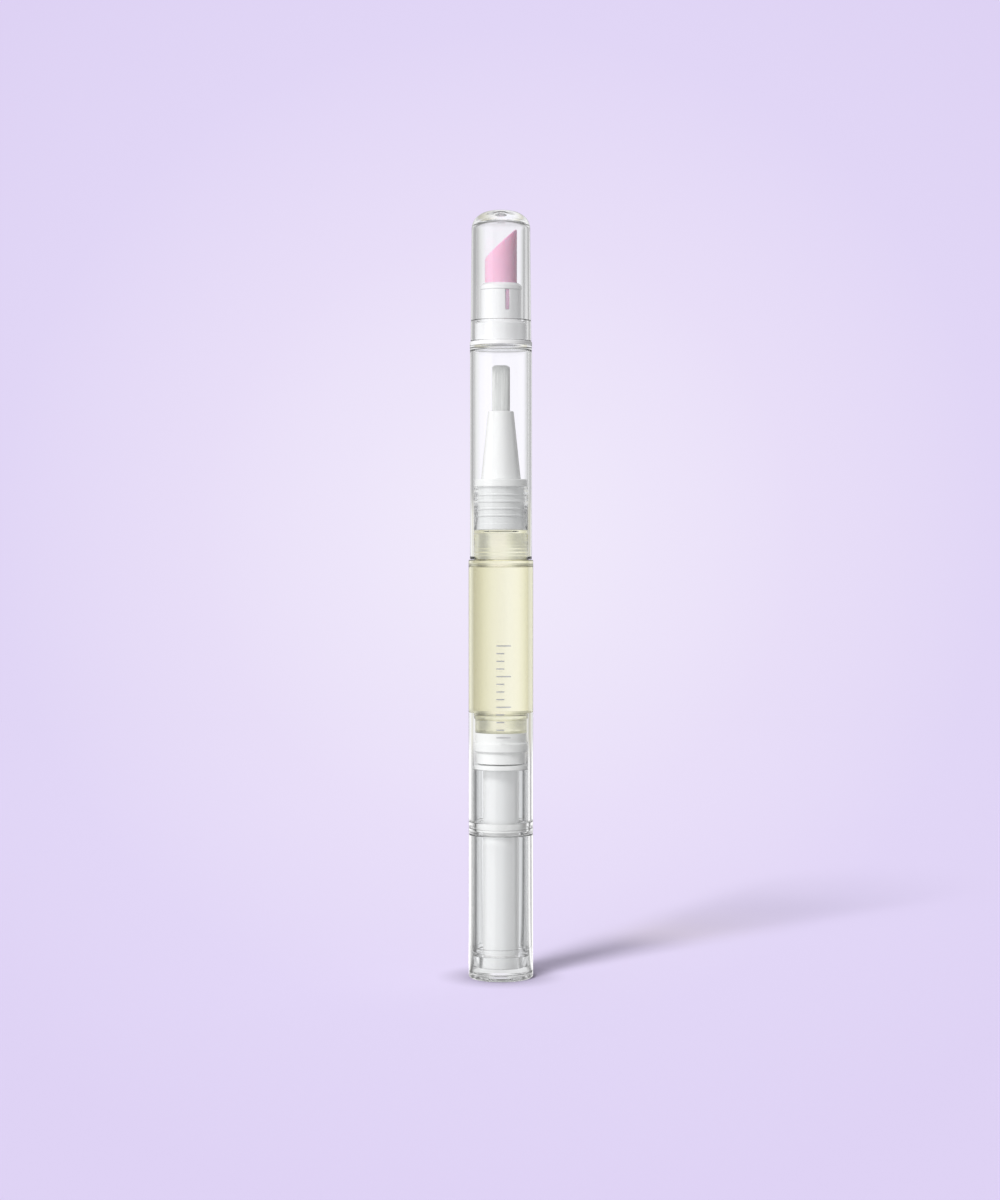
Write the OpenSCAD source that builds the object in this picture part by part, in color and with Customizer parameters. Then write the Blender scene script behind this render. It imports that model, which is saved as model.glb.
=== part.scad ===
// Twist-up nail oil pen with a cuticle pusher on its cap.
// It stands on its end plug, with its axis along Z and the origin at the centre of that face.
// Turning the knob turns the driver tube, which turns the screw. The screw climbs through
// the fixed nut and pushes the piston, and the piston feeds oil to the brush under the cap.

/* [Barrel] */
// Wall round the oil
barrel_wall = 0.85; // [0.75:0.05:0.95]
// How far the piston travels along the bore
stroke = 25.5; // [22:0.5:30]
// Room left in front of the piston at the end of its travel
stroke_spare = 0.5; // [0.3:0.1:1]
// Height of the cone between the bore and the neck
throat_h = 0.5; // [0.3:0.1:1]
// Thickness of the shoulder that the cap rests on
shoulder_t = 0.7; // [0.5:0.1:1]
// Length of the neck above the shoulder
neck_len = 13; // [11:0.5:15]
// Wall of the neck
neck_wall = 0.45; // [0.4:0.05:0.55]
// Height of each snap bead round the neck
neck_bead_h = 0.9; // [0.6:0.1:1.1]
// Distance from one snap bead to the next
neck_bead_step = 1.9; // [1.5:0.1:2.4]
// Chamfer on the outer edges of the clear shells
shell_edge = 0.12; // [0.05:0.01:0.2]

/* [Knob] */
// Length of the knob shell
knob_len = 24.5; // [22:0.5:28]
// Wall of the knob shell
knob_wall = 0.8; // [0.75:0.05:0.85]
// Height of the wider seat inside the foot of the knob
knob_seat_h = 4.4; // [4.2:0.1:5]
// How much wider that seat is than the knob's bore, on the radius
knob_seat_step = 0.2; // [0.15:0.01:0.25]

/* [End plug] */
// Height of the flange that the pen stands on
plug_flange_h = 1.2; // [1:0.1:1.6]
// Height of the boss inside the knob
plug_boss_h = 3; // [2.5:0.1:3.4]
// Depth of the socket that holds the driver tube
plug_socket_depth = 2.3; // [1.8:0.1:2.5]
// Diameter of the moulded recess underneath
plug_recess_d = 6.8; // [5:0.2:8]
// Depth of that recess
plug_recess_h = 0.35; // [0.2:0.05:0.5]
// Diameter of the moulding mark inside the recess
plug_mark_d = 2.2; // [1.5:0.1:3]
// Height of the moulding mark
plug_mark_h = 0.2; // [0.1:0.05:0.2]

/* [Bearing sleeve] */
// Height of the ring seen between the barrel and the knob
ring_h = 2.2; // [2.1:0.1:3]
// Length of the sleeve's skirt inside the barrel
front_skirt_len = 9.4; // [8:0.2:12]
// Wall of both skirts
skirt_wall = 0.45; // [0.4:0.05:0.5]
// Height of the bead that keeps the sleeve in the knob
sleeve_bead_h = 0.8; // [0.5:0.1:1]
// How far that bead stands out of the skirt
sleeve_bead_rise = 0.18; // [0.12:0.01:0.2]
// Space between the sleeve's end and the end plug
sleeve_end_gap = 0.5; // [0.3:0.1:0.8]
// Height of the inner rib that the ratchet ring sits on
seat_rib_h = 0.5; // [0.3:0.1:0.6]
// How far that rib stands inwards
seat_rib_rise = 0.4; // [0.35:0.01:0.42]
// Height of the groove round the outside of the ring
ring_groove_h = 0.2; // [0.1:0.05:0.4]
// Depth of that groove
ring_groove_depth = 0.25; // [0.2:0.05:0.4]

/* [Driver and screw] */
// Outside diameter of the white driver tube, from which the pen is built outwards
driver_d = 6.4; // [6:0.1:7.2]
// Space round the driver inside the bearing sleeve, which holds the ratchet
driver_space = 1.23; // [1.15:0.01:1.4]
// Thickness of the driver's closed foot
driver_floor = 1.2; // [0.8:0.1:2]
// How deep the groove for the click ring is cut in the driver
driver_groove_depth = 0.45; // [0.4:0.01:0.5]
// Diameter of the screw over its thread
screw_d = 4; // [3.6:0.1:4.2]
// Width of the screw across its two flats
screw_flat_w = 3; // [2.6:0.1:3.2]
// Space under the screw when the pen is full
screw_foot_gap = 0.8; // [0.5:0.1:1.5]
// Diameter of the screw's thin neck, inside the piston's snap hole
screw_neck_d = 2.4; // [2:0.1:2.6]
// Diameter of the screw's snap head
screw_head_d = 3.4; // [3:0.1:3.6]

/* [Guide nut] */
// Height of the nut's flange across the bore
nut_flange_h = 0.8; // [0.6:0.1:1.2]
// Wall of the nut's hub round the screw
nut_hub_wall = 1.05; // [0.8:0.05:1.15]
// Height of that hub above the flange
nut_hub_h = 3.2; // [2.6:0.1:3.6]

/* [Ratchet] */
// Number of teeth round the inside of the ratchet ring
tooth_count = 16; // [12:1:20]
// Depth of each tooth
tooth_depth = 0.25; // [0.2:0.01:0.28]
// Wall of the ratchet ring behind its teeth
ratchet_wall = 0.3; // [0.25:0.01:0.32]
// Height of the ratchet ring
ratchet_h = 1.6; // [1.2:0.1:1.6]
// Number of spring pawls on the click ring
pawl_count = 3; // [2:1:4]
// Angle that each pawl arm covers
pawl_sweep = 66; // [50:1:72]
// Width of the slit that lets the click ring open
click_slit_w = 1; // [0.8:0.1:1.2]

/* [Piston] */
// Length of the piston
piston_len = 9; // [8.8:0.1:10]
// Height of the sealing lip round its front cup
piston_lip_h = 0.9; // [0.6:0.1:1.2]
// Depth of the front cup
piston_cup_depth = 3.5; // [3:0.1:3.6]
// Wall of the front cup
piston_cup_wall = 0.45; // [0.35:0.05:0.5]
// How much the body is set back from its lips
piston_waist_step = 0.25; // [0.15:0.01:0.3]
// Height of the rear skirt
piston_skirt_h = 2; // [1.6:0.1:2.4]
// How much the rear skirt is set back from the bore
piston_skirt_step = 0.5; // [0.4:0.05:0.6]
// Height of the rear sealing land
piston_land_h = 1.6; // [1.2:0.1:2]
// Thickness of the floor between the cup and the snap pocket
piston_crown_t = 0.8; // [0.6:0.1:0.9]
// Height of the snap pocket for the screw's head
piston_pocket_h = 0.6; // [0.5:0.05:0.7]

/* [Neck plug] */
// Length of the plug inside the neck
plug_len = 7.6; // [6.5:0.1:9]
// Space between the plug's flange and the brush cap, on the radius
neck_flange_gap = 0.27; // [0.2:0.01:0.4]
// Height of that flange
neck_flange_h = 1.3; // [1:0.1:1.8]
// Height of the wide foot of the plug
plug_foot_h = 1.1; // [0.8:0.1:1.4]
// Number of sealing ribs above the foot
plug_rib_count = 4; // [2:1:5]
// Height of each rib
plug_rib_h = 0.45; // [0.3:0.05:0.6]
// How far the ribs stand out
plug_rib_rise = 0.15; // [0.1:0.01:0.2]
// Diameter of the oil way up the plug
plug_bore_d = 4.4; // [3.8:0.1:4.8]

/* [Nozzle and brush] */
// Diameter at the foot of the nozzle cone
cone_base_d = 7.1; // [6.6:0.1:7.6]
// Diameter at the top of the nozzle cone
cone_tip_d = 4.55; // [4.5:0.05:4.8]
// Height of the nozzle cone
cone_h = 12.1; // [10:0.1:14]
// Diameter of the cone's spigot, inside the neck plug
cone_spigot_d = 5.2; // [5:0.1:5.6]
// Length of that spigot
cone_spigot_len = 2; // [1.6:0.1:2.4]
// Diameter of the brush
brush_d = 3.4; // [3:0.02:3.44]
// Length of brush that stands out of the cone
brush_len = 8.2; // [7:0.1:9]
// Depth of the brush's root inside the cone
brush_root_depth = 2.6; // [2:0.1:3.2]
// Thickness of the fused root of the brush
brush_root_t = 0.5; // [0.4:0.05:0.8]
// Width of one bristle
bristle_w = 0.12; // [0.1:0.01:0.13]
// Distance from one bristle to the next
bristle_pitch = 0.155; // [0.15:0.005:0.2]
// How much shorter the outermost bristles are
bristle_round = 0.45; // [0.2:0.05:0.8]
// Wall of the collar round the brush's root
collar_wall = 0.24; // [0.2:0.01:0.26]
// Outside diameter of the feed tube
feed_d = 0.9; // [0.8:0.02:1]
// Bore of the feed tube
feed_bore_d = 0.5; // [0.4:0.02:0.6]
// How far the feed tube hangs below the nozzle cone
feed_tail = 1.5; // [1:0.1:3]
// How far the feed tube reaches up into the brush
feed_reach = 0.5; // [0.2:0.1:1]

/* [Brush cap] */
// How much the brush cap is set back from the barrel, on the radius
brush_cap_step = 0.25; // [0.15:0.01:0.3]
// Wall of the brush cap
brush_cap_wall = 0.55; // [0.5:0.01:0.6]
// Room left above the brush inside the cap
brush_room = 2.7; // [2:0.1:4]
// Thickness of the cap's closed end
brush_cap_end_t = 0.7; // [0.5:0.1:1]
// Diameter of the spigot that carries the pusher's holder
spigot_d = 5; // [4.6:0.1:5.2]
// Height of that spigot
spigot_h = 3.6; // [3:0.1:3.8]
// Widening at the cap's mouth
mouth_flare = 0.15; // [0.1:0.01:0.2]
// Height of that widening
mouth_flare_h = 0.5; // [0.3:0.1:0.8]

/* [Pusher holder] */
// How far the holder's flange stands out of the brush cap, on the radius
holder_flange_rise = 0.03; // [0:0.01:0.1]
// Height of that flange
holder_flange_h = 0.7; // [0.5:0.1:1]
// Height of that foot
holder_foot_h = 3.1; // [2.6:0.1:3.6]
// Height of the slope from the foot to the sleeve
holder_slope_h = 0.5; // [0.3:0.1:0.8]
// Wall of the sleeve round the tip's root
holder_wall = 0.78; // [0.6:0.01:0.9]
// Height of the sleeve above the slope
holder_sleeve_h = 5.5; // [5:0.1:6.5]
// Height of the rounded collar at the top
holder_collar_h = 1.2; // [1:0.1:1.6]
// How far the collar stands out of the sleeve
holder_collar_rise = 0.08; // [0.05:0.01:0.12]
// Width of the slot that shows the tip's root
holder_slot_w = 0.75; // [0.5:0.05:1]
// Length of that slot
holder_slot_len = 3.6; // [3:0.1:4.4]
// Where the slot stands round the sleeve, from the front
holder_slot_turn = 18; // [0:1:40]
// Thickness of the floor under the tip's root
holder_floor_t = 1; // [0.8:0.1:1.2]

/* [Pusher tip] */
// Diameter of the silicone tip
tip_d = 5.7; // [5.4:0.1:6]
// Height of the tip above its holder
tip_h = 9.5; // [8:0.1:10.5]
// Height of the tip's low side
tip_heel_h = 4.3; // [3.6:0.1:5]
// Width of the blunt edge at the tip's high side
tip_edge_w = 0.3; // [0.2:0.05:0.5]

/* [Pusher cap] */
// How much the cap's mouth is set back from the brush cap, on the radius
pusher_cap_step = 0.1; // [0.05:0.01:0.2]
// How much narrower the cap is where its dome begins, on the radius
pusher_cap_draft = 0.2; // [0.1:0.01:0.3]
// Wall at the cap's mouth
pusher_mouth_wall = 0.72; // [0.6:0.01:0.8]
// Wall beside the tip
pusher_cap_wall = 0.8; // [0.7:0.01:0.9]
// Room left between the tip and the inside of the dome
pusher_room = 2.3; // [1.8:0.1:3]
// Thickness at the top of the dome
dome_t = 1.2; // [1:0.1:1.5]
// Height of the dome
dome_h = 2.9; // [2.4:0.1:3.4]
// Diameter of the moulding dimple on the dome
dimple_d = 1.5; // [1:0.1:2]
// Depth of that dimple
dimple_depth = 0.3; // [0.2:0.05:0.5]

/* [Fits] */
// Clearance on the radius where one piece is pressed into another
press_fit = 0.02; // [0.01:0.005:0.03]
// Clearance on the radius where one piece turns or slides in another
running_fit = 0.05; // [0.03:0.005:0.06]
// Clearance on the radius between the knob and the sleeve's skirt
knob_fit = 0.08; // [0.05:0.005:0.09]
// Clearance on the radius between the neck and the brush cap
cap_fit = 0.1; // [0.08:0.005:0.12]
// Clearance on the radius between the neck's beads and the brush cap
bead_fit = 0.03; // [0.02:0.005:0.04]
// Gap between faces that turn or rest on each other
face_gap = 0.1; // [0.06:0.01:0.15]
// Gap that keeps pieces of the feed clear of each other along the axis
feed_gap = 0.2; // [0.15:0.01:0.3]
// Clearance round the nut's hub inside the piston
hub_gap = 0.25; // [0.15:0.01:0.3]
// Film of air left round the oil
oil_film = 0.02; // [0.01:0.005:0.03]

/* [Hidden] */
$fn = 96;
// Overrun of every cut
over = 0.5;
// Straight steps in each rounded stretch of an outline
round_steps = 12;

// Radii from the driver tube out to the barrel and the knob
driver_r = driver_d / 2;
sleeve_bore_r = driver_r + driver_space;
front_skirt_r = sleeve_bore_r + skirt_wall;
bore_r = front_skirt_r + press_fit;
barrel_r = bore_r + barrel_wall;
knob_bore_r = barrel_r - knob_wall;
knob_seat_r = knob_bore_r + knob_seat_step;
rear_skirt_r = knob_bore_r - knob_fit;
rear_bore_r = rear_skirt_r - skirt_wall;

// Radii of the caps, the neck and the holder
brush_cap_r = barrel_r - brush_cap_step;
brush_cap_bore_r = brush_cap_r - brush_cap_wall;
neck_r = brush_cap_bore_r - cap_fit;
neck_bead_r = brush_cap_bore_r - bead_fit;
neck_bore_r = neck_r - neck_wall;

// Heights of the knob, the sleeve and the ratchet
plug_top_z = plug_flange_h + plug_boss_h;
driver_z = plug_top_z - plug_socket_depth;
sleeve_z = plug_top_z + sleeve_end_gap;
knob_seat_z = plug_flange_h + knob_seat_h;
knob_top_z = plug_flange_h + knob_len;
ring_z = knob_top_z + face_gap;
ring_top_z = ring_z + ring_h;
ratchet_z = ring_z + seat_rib_h;
click_z = ratchet_z + face_gap / 2;
click_h = ratchet_h - face_gap;

// Heights of the nut, the piston and the screw
nut_z = ring_top_z + front_skirt_len;
nut_top_z = nut_z + nut_flange_h;
nut_hub_top_z = nut_top_z + nut_hub_h;
driver_top_z = nut_z - feed_gap;
piston_z = nut_top_z + feed_gap;
piston_top_z = piston_z + piston_len;
cup_floor_z = piston_top_z - piston_cup_depth;
pocket_top_z = cup_floor_z - piston_crown_t;
pocket_z = pocket_top_z - piston_pocket_h;
hollow_top_z = nut_hub_top_z + feed_gap * 2;
screw_z = driver_z + driver_floor + screw_foot_gap;
screw_shoulder_z = hollow_top_z - feed_gap;
screw_head_z = pocket_z + face_gap;
screw_top_z = pocket_top_z - face_gap;

// Radii of the drive
driver_groove_r = driver_r - driver_groove_depth;
screw_r = screw_d / 2;
nut_way_r = screw_r + running_fit;
nut_hub_r = nut_way_r + nut_hub_wall;
ratchet_r = sleeve_bore_r - press_fit;
tooth_root_r = ratchet_r - ratchet_wall;
tooth_crest_r = tooth_root_r - tooth_depth;
pawl_tip_r = tooth_crest_r - running_fit;
click_bore_r = driver_groove_r + press_fit;
// The click ring's hub, its arms and the tips of its pawls share the room out to the teeth
click_room = pawl_tip_r - click_bore_r;
hub_share = 0.38;
arm_in_share = 0.56;
arm_out_share = 0.86;
click_hub_r = click_bore_r + click_room * hub_share;
pawl_in_r = click_bore_r + click_room * arm_in_share;
pawl_out_r = click_bore_r + click_room * arm_out_share;
// Angles along a pawl: its root, and the wedge at its free end
pawl_root_turn = 14;
pawl_wedge_turn = 9;

// Radii of the piston
piston_lip_r = bore_r - running_fit;
piston_waist_r = piston_lip_r - piston_waist_step;
piston_skirt_r = bore_r - piston_skirt_step;
piston_cup_r = piston_waist_r - piston_cup_wall;
piston_hollow_r = nut_hub_r + hub_gap;

// Heights of the barrel, the neck and the brush
bore_top_z = piston_top_z + stroke + stroke_spare;
throat_z = bore_top_z + throat_h;
shoulder_z = throat_z + shoulder_t;
neck_top_z = shoulder_z + neck_len;
neck_plug_z = neck_top_z - plug_len;
cone_z = neck_top_z + neck_flange_h;
cone_top_z = cone_z + cone_h;
brush_root_z = cone_top_z - brush_root_depth;
brush_top_z = cone_top_z + brush_len;
brush_r = brush_d / 2;
collar_bore_r = brush_r + press_fit;
collar_r = collar_bore_r + collar_wall;
cone_pocket_r = collar_r + press_fit;
feed_r = feed_d / 2;
feed_way_r = feed_r + press_fit;
feed_z = cone_z - cone_spigot_len - feed_tail;
feed_top_z = cone_top_z + feed_reach;
plug_rib_r = neck_bore_r - press_fit;
plug_body_r = plug_rib_r - plug_rib_rise;
plug_bore_r = plug_bore_d / 2;
neck_flange_r = brush_cap_bore_r - neck_flange_gap;

// Heights of the two caps, the holder and the tip
brush_cap_z = shoulder_z + face_gap;
brush_cap_end_z = brush_top_z + brush_room;
holder_z = brush_cap_end_z + brush_cap_end_t;
holder_flange_top_z = holder_z + holder_flange_h;
holder_foot_top_z = holder_flange_top_z + holder_foot_h;
holder_sleeve_z = holder_foot_top_z + holder_slope_h;
holder_collar_z = holder_sleeve_z + holder_sleeve_h;
holder_top_z = holder_collar_z + holder_collar_h;
holder_cavity_z = holder_z + spigot_h + face_gap;
tip_root_z = holder_cavity_z + holder_floor_t;
tip_top_z = holder_top_z + tip_h;
tip_heel_z = holder_top_z + tip_heel_h;
pusher_cap_z = holder_flange_top_z + face_gap;
dome_inside_z = tip_top_z + pusher_room;
pusher_cap_top_z = dome_inside_z + dome_t;
dome_z = pusher_cap_top_z - dome_h;

// Radii of the tip, the holder and the pusher's cap
tip_r = tip_d / 2;
holder_bore_r = tip_r + press_fit;
holder_sleeve_r = holder_bore_r + holder_wall;
holder_collar_r = holder_sleeve_r + holder_collar_rise;
holder_flange_r = brush_cap_r + holder_flange_rise;
pusher_cap_r = brush_cap_r - pusher_cap_step;
pusher_cap_top_r = pusher_cap_r - pusher_cap_draft;
pusher_bore_r = pusher_cap_top_r - pusher_cap_wall;
pusher_mouth_r = pusher_cap_r - pusher_mouth_wall;
holder_foot_r = pusher_mouth_r - running_fit;

// Colours of the materials
clear_plastic = [0.93, 0.95, 0.97, 0.3];
white_plastic = [0.95, 0.95, 0.94];
milky_plastic = [0.82, 0.84, 0.84];
bristle_nylon = [0.86, 0.88, 0.87];
pearl_plastic = [0.9, 0.9, 0.92];
pink_silicone = [0.95, 0.68, 0.82];
pale_oil = [0.95, 0.92, 0.7, 0.6];

// A solid turned about the axis, from points that are a radius and a height
module turned(points) {
    rotate_extrude() polygon(points);
}

// Points on a quarter or more of an oval, about a centre at radius cr and height cz
function oval(cr, cz, rr, rz, from, to) =
    [for (i = [0:round_steps]) let (a = from + (to - from) * i / round_steps)
        [cr + rr * cos(a), cz + rz * sin(a)]];

// Points on an arc about the axis, seen from above
function arc(r, from, to) =
    [for (i = [0:round_steps]) let (a = from + (to - from) * i / round_steps)
        [r * cos(a), r * sin(a)]];

// A round bar with two flats, which keys the screw in the driver and the driver in the plug
module flatted(r, flat_w, z, h) {
    intersection() {
        translate([0, 0, z]) cylinder(r = r, h = h);
        translate([-flat_w / 2, -r - over, z]) cube([flat_w, (r + over) * 2, h]);
    }
}

// Dome of hard clear plastic over the pusher, a snap fit over the holder's foot
module pusher_cap() {
    step_z = holder_sleeve_z + face_gap;
    inside_h = dome_inside_z - dome_z;
    color(clear_plastic) difference() {
        turned(concat(
            [[pusher_mouth_r, pusher_cap_z], [pusher_cap_r - shell_edge, pusher_cap_z]],
            [[pusher_cap_r, pusher_cap_z + shell_edge]],
            oval(0, dome_z, pusher_cap_top_r, dome_h, 0, 90),
            oval(0, dome_z, pusher_bore_r, inside_h, 90, 0),
            [[pusher_bore_r, step_z + face_gap], [pusher_mouth_r, step_z]]));
        translate([0, 0, pusher_cap_top_z - dimple_depth]) cylinder(d = dimple_d, h = over);
    }
}

// Pink silicone cuticle pusher: a round bar cut off at a slant, its root deep in the holder
module pusher_tip() {
    rise = tip_top_z - tip_heel_z;
    run = tip_d - tip_edge_w;
    slope = atan(rise / run);
    color(pink_silicone) difference() {
        translate([0, 0, tip_root_z]) cylinder(r = tip_r, h = tip_top_z - tip_root_z);
        translate([-tip_r, -tip_r - over, tip_heel_z]) rotate([0, -slope, 0])
            translate([-over, 0, 0]) cube([tip_d + tip_h, tip_d + over * 2, tip_h]);
    }
}

// Pearl-white holder: flange, foot, sleeve and rounded collar, pressed on the cap's spigot
module pusher_holder() {
    round_r = holder_collar_r - holder_bore_r;
    groove_z = holder_collar_z - holder_collar_rise;
    cavity_r = spigot_d / 2 + press_fit;
    slot_z = holder_collar_z - holder_slot_len;
    color(pearl_plastic) difference() {
        turned(concat(
            [[cavity_r, holder_z], [holder_flange_r, holder_z]],
            [[holder_flange_r, holder_flange_top_z - shell_edge]],
            [[holder_flange_r - shell_edge, holder_flange_top_z]],
            [[holder_foot_r, holder_flange_top_z], [holder_foot_r, holder_foot_top_z]],
            [[holder_sleeve_r, holder_sleeve_z], [holder_sleeve_r, groove_z]],
            [[holder_sleeve_r - holder_collar_rise, groove_z]],
            [[holder_sleeve_r - holder_collar_rise, holder_collar_z]],
            [[holder_collar_r, holder_collar_z]],
            oval(holder_bore_r, holder_collar_z, round_r, holder_collar_h, 0, 90),
            [[holder_bore_r, tip_root_z], [0, tip_root_z], [0, holder_cavity_z]],
            [[cavity_r, holder_cavity_z]]));
        rotate([0, 0, holder_slot_turn - 90])
            translate([0, -holder_slot_w / 2, slot_z])
                cube([holder_collar_r, holder_slot_w, holder_slot_len - holder_collar_rise]);
    }
}

// Long clear cap over the brush, closed at the top, with the spigot for the holder
module brush_cap() {
    color(clear_plastic) turned([
        [brush_cap_bore_r + mouth_flare, brush_cap_z],
        [brush_cap_r - shell_edge, brush_cap_z],
        [brush_cap_r, brush_cap_z + shell_edge],
        [brush_cap_r, holder_z],
        [spigot_d / 2, holder_z],
        [spigot_d / 2, holder_z + spigot_h],
        [0, holder_z + spigot_h],
        [0, brush_cap_end_z],
        [brush_cap_bore_r, brush_cap_end_z],
        [brush_cap_bore_r, brush_cap_z + mouth_flare_h]]);
}

// Brush: rings of upright nylon bristles fused to a root disc round the feed tube
module bristles() {
    first_r = feed_way_r + bristle_w;
    rows = floor((brush_r - bristle_w - first_r) / bristle_pitch);
    row_step = (brush_r - bristle_w - first_r) / rows;
    foot_z = brush_root_z + brush_root_t / 2;
    color(bristle_nylon) {
        turned([[feed_way_r, brush_root_z], [brush_r, brush_root_z],
                [brush_r, brush_root_z + brush_root_t], [feed_way_r, brush_root_z + brush_root_t]]);
        for (row = [0:rows]) {
            r = first_r + row * row_step;
            count = floor(2 * PI * r / bristle_pitch);
            top_z = brush_top_z - bristle_round * pow(row / rows, 3);
            translate([0, 0, foot_z]) linear_extrude(top_z - foot_z)
                for (i = [0:count - 1])
                    rotate([0, 0, i * 360 / count]) translate([r, 0]) circle(d = bristle_w, $fn = 4);
        }
    }
}

// Thin collar that clamps the brush's root inside the cone
module tuft_collar() {
    color(white_plastic) turned([
        [collar_bore_r, brush_root_z], [collar_r, brush_root_z],
        [collar_r, cone_top_z - face_gap], [collar_bore_r, cone_top_z - face_gap]]);
}

// Feed tube from the plug's oil way to the heart of the brush
module feed_tube() {
    color(white_plastic) turned([
        [feed_bore_d / 2, feed_z], [feed_r, feed_z],
        [feed_r, feed_top_z], [feed_bore_d / 2, feed_top_z]]);
}

// Cone that carries the brush, with a spigot pressed into the neck plug
module nozzle_cone() {
    color(white_plastic) turned([
        [feed_way_r, cone_z - cone_spigot_len],
        [cone_spigot_d / 2, cone_z - cone_spigot_len],
        [cone_spigot_d / 2, cone_z],
        [cone_base_d / 2, cone_z],
        [cone_tip_d / 2, cone_top_z],
        [cone_pocket_r, cone_top_z],
        [cone_pocket_r, brush_root_z],
        [feed_way_r, brush_root_z]]);
}

// Ribbed plug that closes the neck, with its flange on the neck's end
module neck_plug() {
    socket_r = cone_spigot_d / 2 + press_fit;
    socket_z = cone_z - cone_spigot_len;
    rib_span = plug_len - plug_foot_h - plug_rib_h;
    rib_step = rib_span / (plug_rib_count + 1);
    color(milky_plastic) {
        turned([
            [plug_bore_r, neck_plug_z],
            [plug_rib_r - plug_rib_rise, neck_plug_z],
            [plug_rib_r, neck_plug_z + plug_rib_rise],
            [plug_rib_r, neck_plug_z + plug_foot_h],
            [plug_body_r, neck_plug_z + plug_foot_h],
            [plug_body_r, neck_top_z],
            [neck_flange_r, neck_top_z],
            [neck_flange_r, cone_z],
            [socket_r, cone_z],
            [socket_r, socket_z],
            [plug_bore_r, socket_z]]);
        for (rib = [1:plug_rib_count]) {
            rib_z = neck_plug_z + plug_foot_h + rib * rib_step;
            turned(concat(
                [[plug_bore_r, rib_z]],
                oval(plug_body_r, rib_z + plug_rib_h / 2, plug_rib_rise, plug_rib_h / 2, -90, 90),
                [[plug_bore_r, rib_z + plug_rib_h]]));
        }
    }
}

// Clear barrel: bore for the piston, shoulder for the cap, and a neck with two snap beads
module barrel() {
    bead_z = neck_top_z - neck_bead_step / 2;
    bead_rise = neck_bead_r - neck_r;
    color(clear_plastic) turned(concat(
        [[bore_r, ring_top_z], [barrel_r - shell_edge, ring_top_z]],
        [[barrel_r, ring_top_z + shell_edge], [barrel_r, shoulder_z - shell_edge]],
        [[barrel_r - shell_edge, shoulder_z], [neck_r, shoulder_z]],
        oval(neck_r, bead_z - neck_bead_step, bead_rise, neck_bead_h / 2, -90, 90),
        oval(neck_r, bead_z, bead_rise, neck_bead_h / 2, -90, 90),
        [[neck_r, neck_top_z], [neck_bore_r, neck_top_z]],
        [[neck_bore_r, throat_z], [bore_r, bore_top_z]]));
}

// Oil that stays in the neck and up the plug's oil way
module neck_oil() {
    socket_z = cone_z - cone_spigot_len;
    color(pale_oil) turned([
        [0, bore_top_z + oil_film],
        [bore_r - oil_film * 2, bore_top_z + oil_film],
        [neck_bore_r - oil_film, throat_z + oil_film],
        [neck_bore_r - oil_film, neck_plug_z - oil_film],
        [plug_bore_r - oil_film, neck_plug_z - oil_film],
        [plug_bore_r - oil_film, socket_z - feed_tail - oil_film],
        [0, socket_z - feed_tail - oil_film]]);
}

// Oil in the bore, from the piston's lip up to the throat: this column shortens in use
module oil() {
    color(pale_oil) translate([0, 0, piston_top_z + oil_film])
        cylinder(r = bore_r - oil_film, h = bore_top_z - piston_top_z - oil_film);
}

// Oil held in the piston's front cup
module cup_oil() {
    color(pale_oil) translate([0, 0, cup_floor_z + oil_film])
        cylinder(r = piston_cup_r - oil_film, h = piston_cup_depth - oil_film);
}

// Piston: front cup with a sealing lip, rear land and skirt, and a snap pocket for the screw
module piston() {
    land_z = piston_z + piston_skirt_h;
    waist_z = land_z + piston_land_h;
    lip_z = piston_top_z - piston_lip_h;
    pocket_r = screw_head_d / 2 + running_fit * 2;
    snap_r = screw_neck_d / 2 + running_fit;
    color(milky_plastic) turned([
        [piston_hollow_r, piston_z],
        [piston_skirt_r, piston_z],
        [piston_skirt_r, land_z],
        [piston_lip_r, land_z + piston_waist_step],
        [piston_lip_r, waist_z],
        [piston_waist_r, waist_z + piston_waist_step],
        [piston_waist_r, lip_z - piston_waist_step],
        [piston_lip_r, lip_z],
        [piston_lip_r, piston_top_z],
        [piston_cup_r + piston_waist_step, piston_top_z],
        [piston_cup_r, lip_z],
        [piston_cup_r, cup_floor_z],
        [0, cup_floor_z],
        [0, pocket_top_z],
        [pocket_r, pocket_top_z],
        [pocket_r, pocket_z],
        [snap_r, pocket_z],
        [snap_r, hollow_top_z],
        [piston_hollow_r, hollow_top_z]]);
}

// Screw with two flats along its thread, and a snap head that turns in the piston
module screw_rod() {
    color(white_plastic) {
        flatted(screw_r, screw_flat_w, screw_z, screw_shoulder_z - screw_z);
        turned([
            [0, screw_shoulder_z - feed_gap],
            [screw_neck_d / 2, screw_shoulder_z - feed_gap],
            [screw_neck_d / 2, screw_head_z],
            [screw_head_d / 2, screw_head_z],
            [screw_neck_d / 2, screw_top_z],
            [0, screw_top_z]]);
    }
}

// Nut fixed across the bore on the sleeve's skirt: the screw climbs through its hub
module guide_nut() {
    color(milky_plastic) turned([
        [nut_way_r, nut_z], [front_skirt_r, nut_z], [front_skirt_r, nut_top_z],
        [nut_hub_r, nut_top_z], [nut_hub_r, nut_hub_top_z], [nut_way_r, nut_hub_top_z]]);
}

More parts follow.
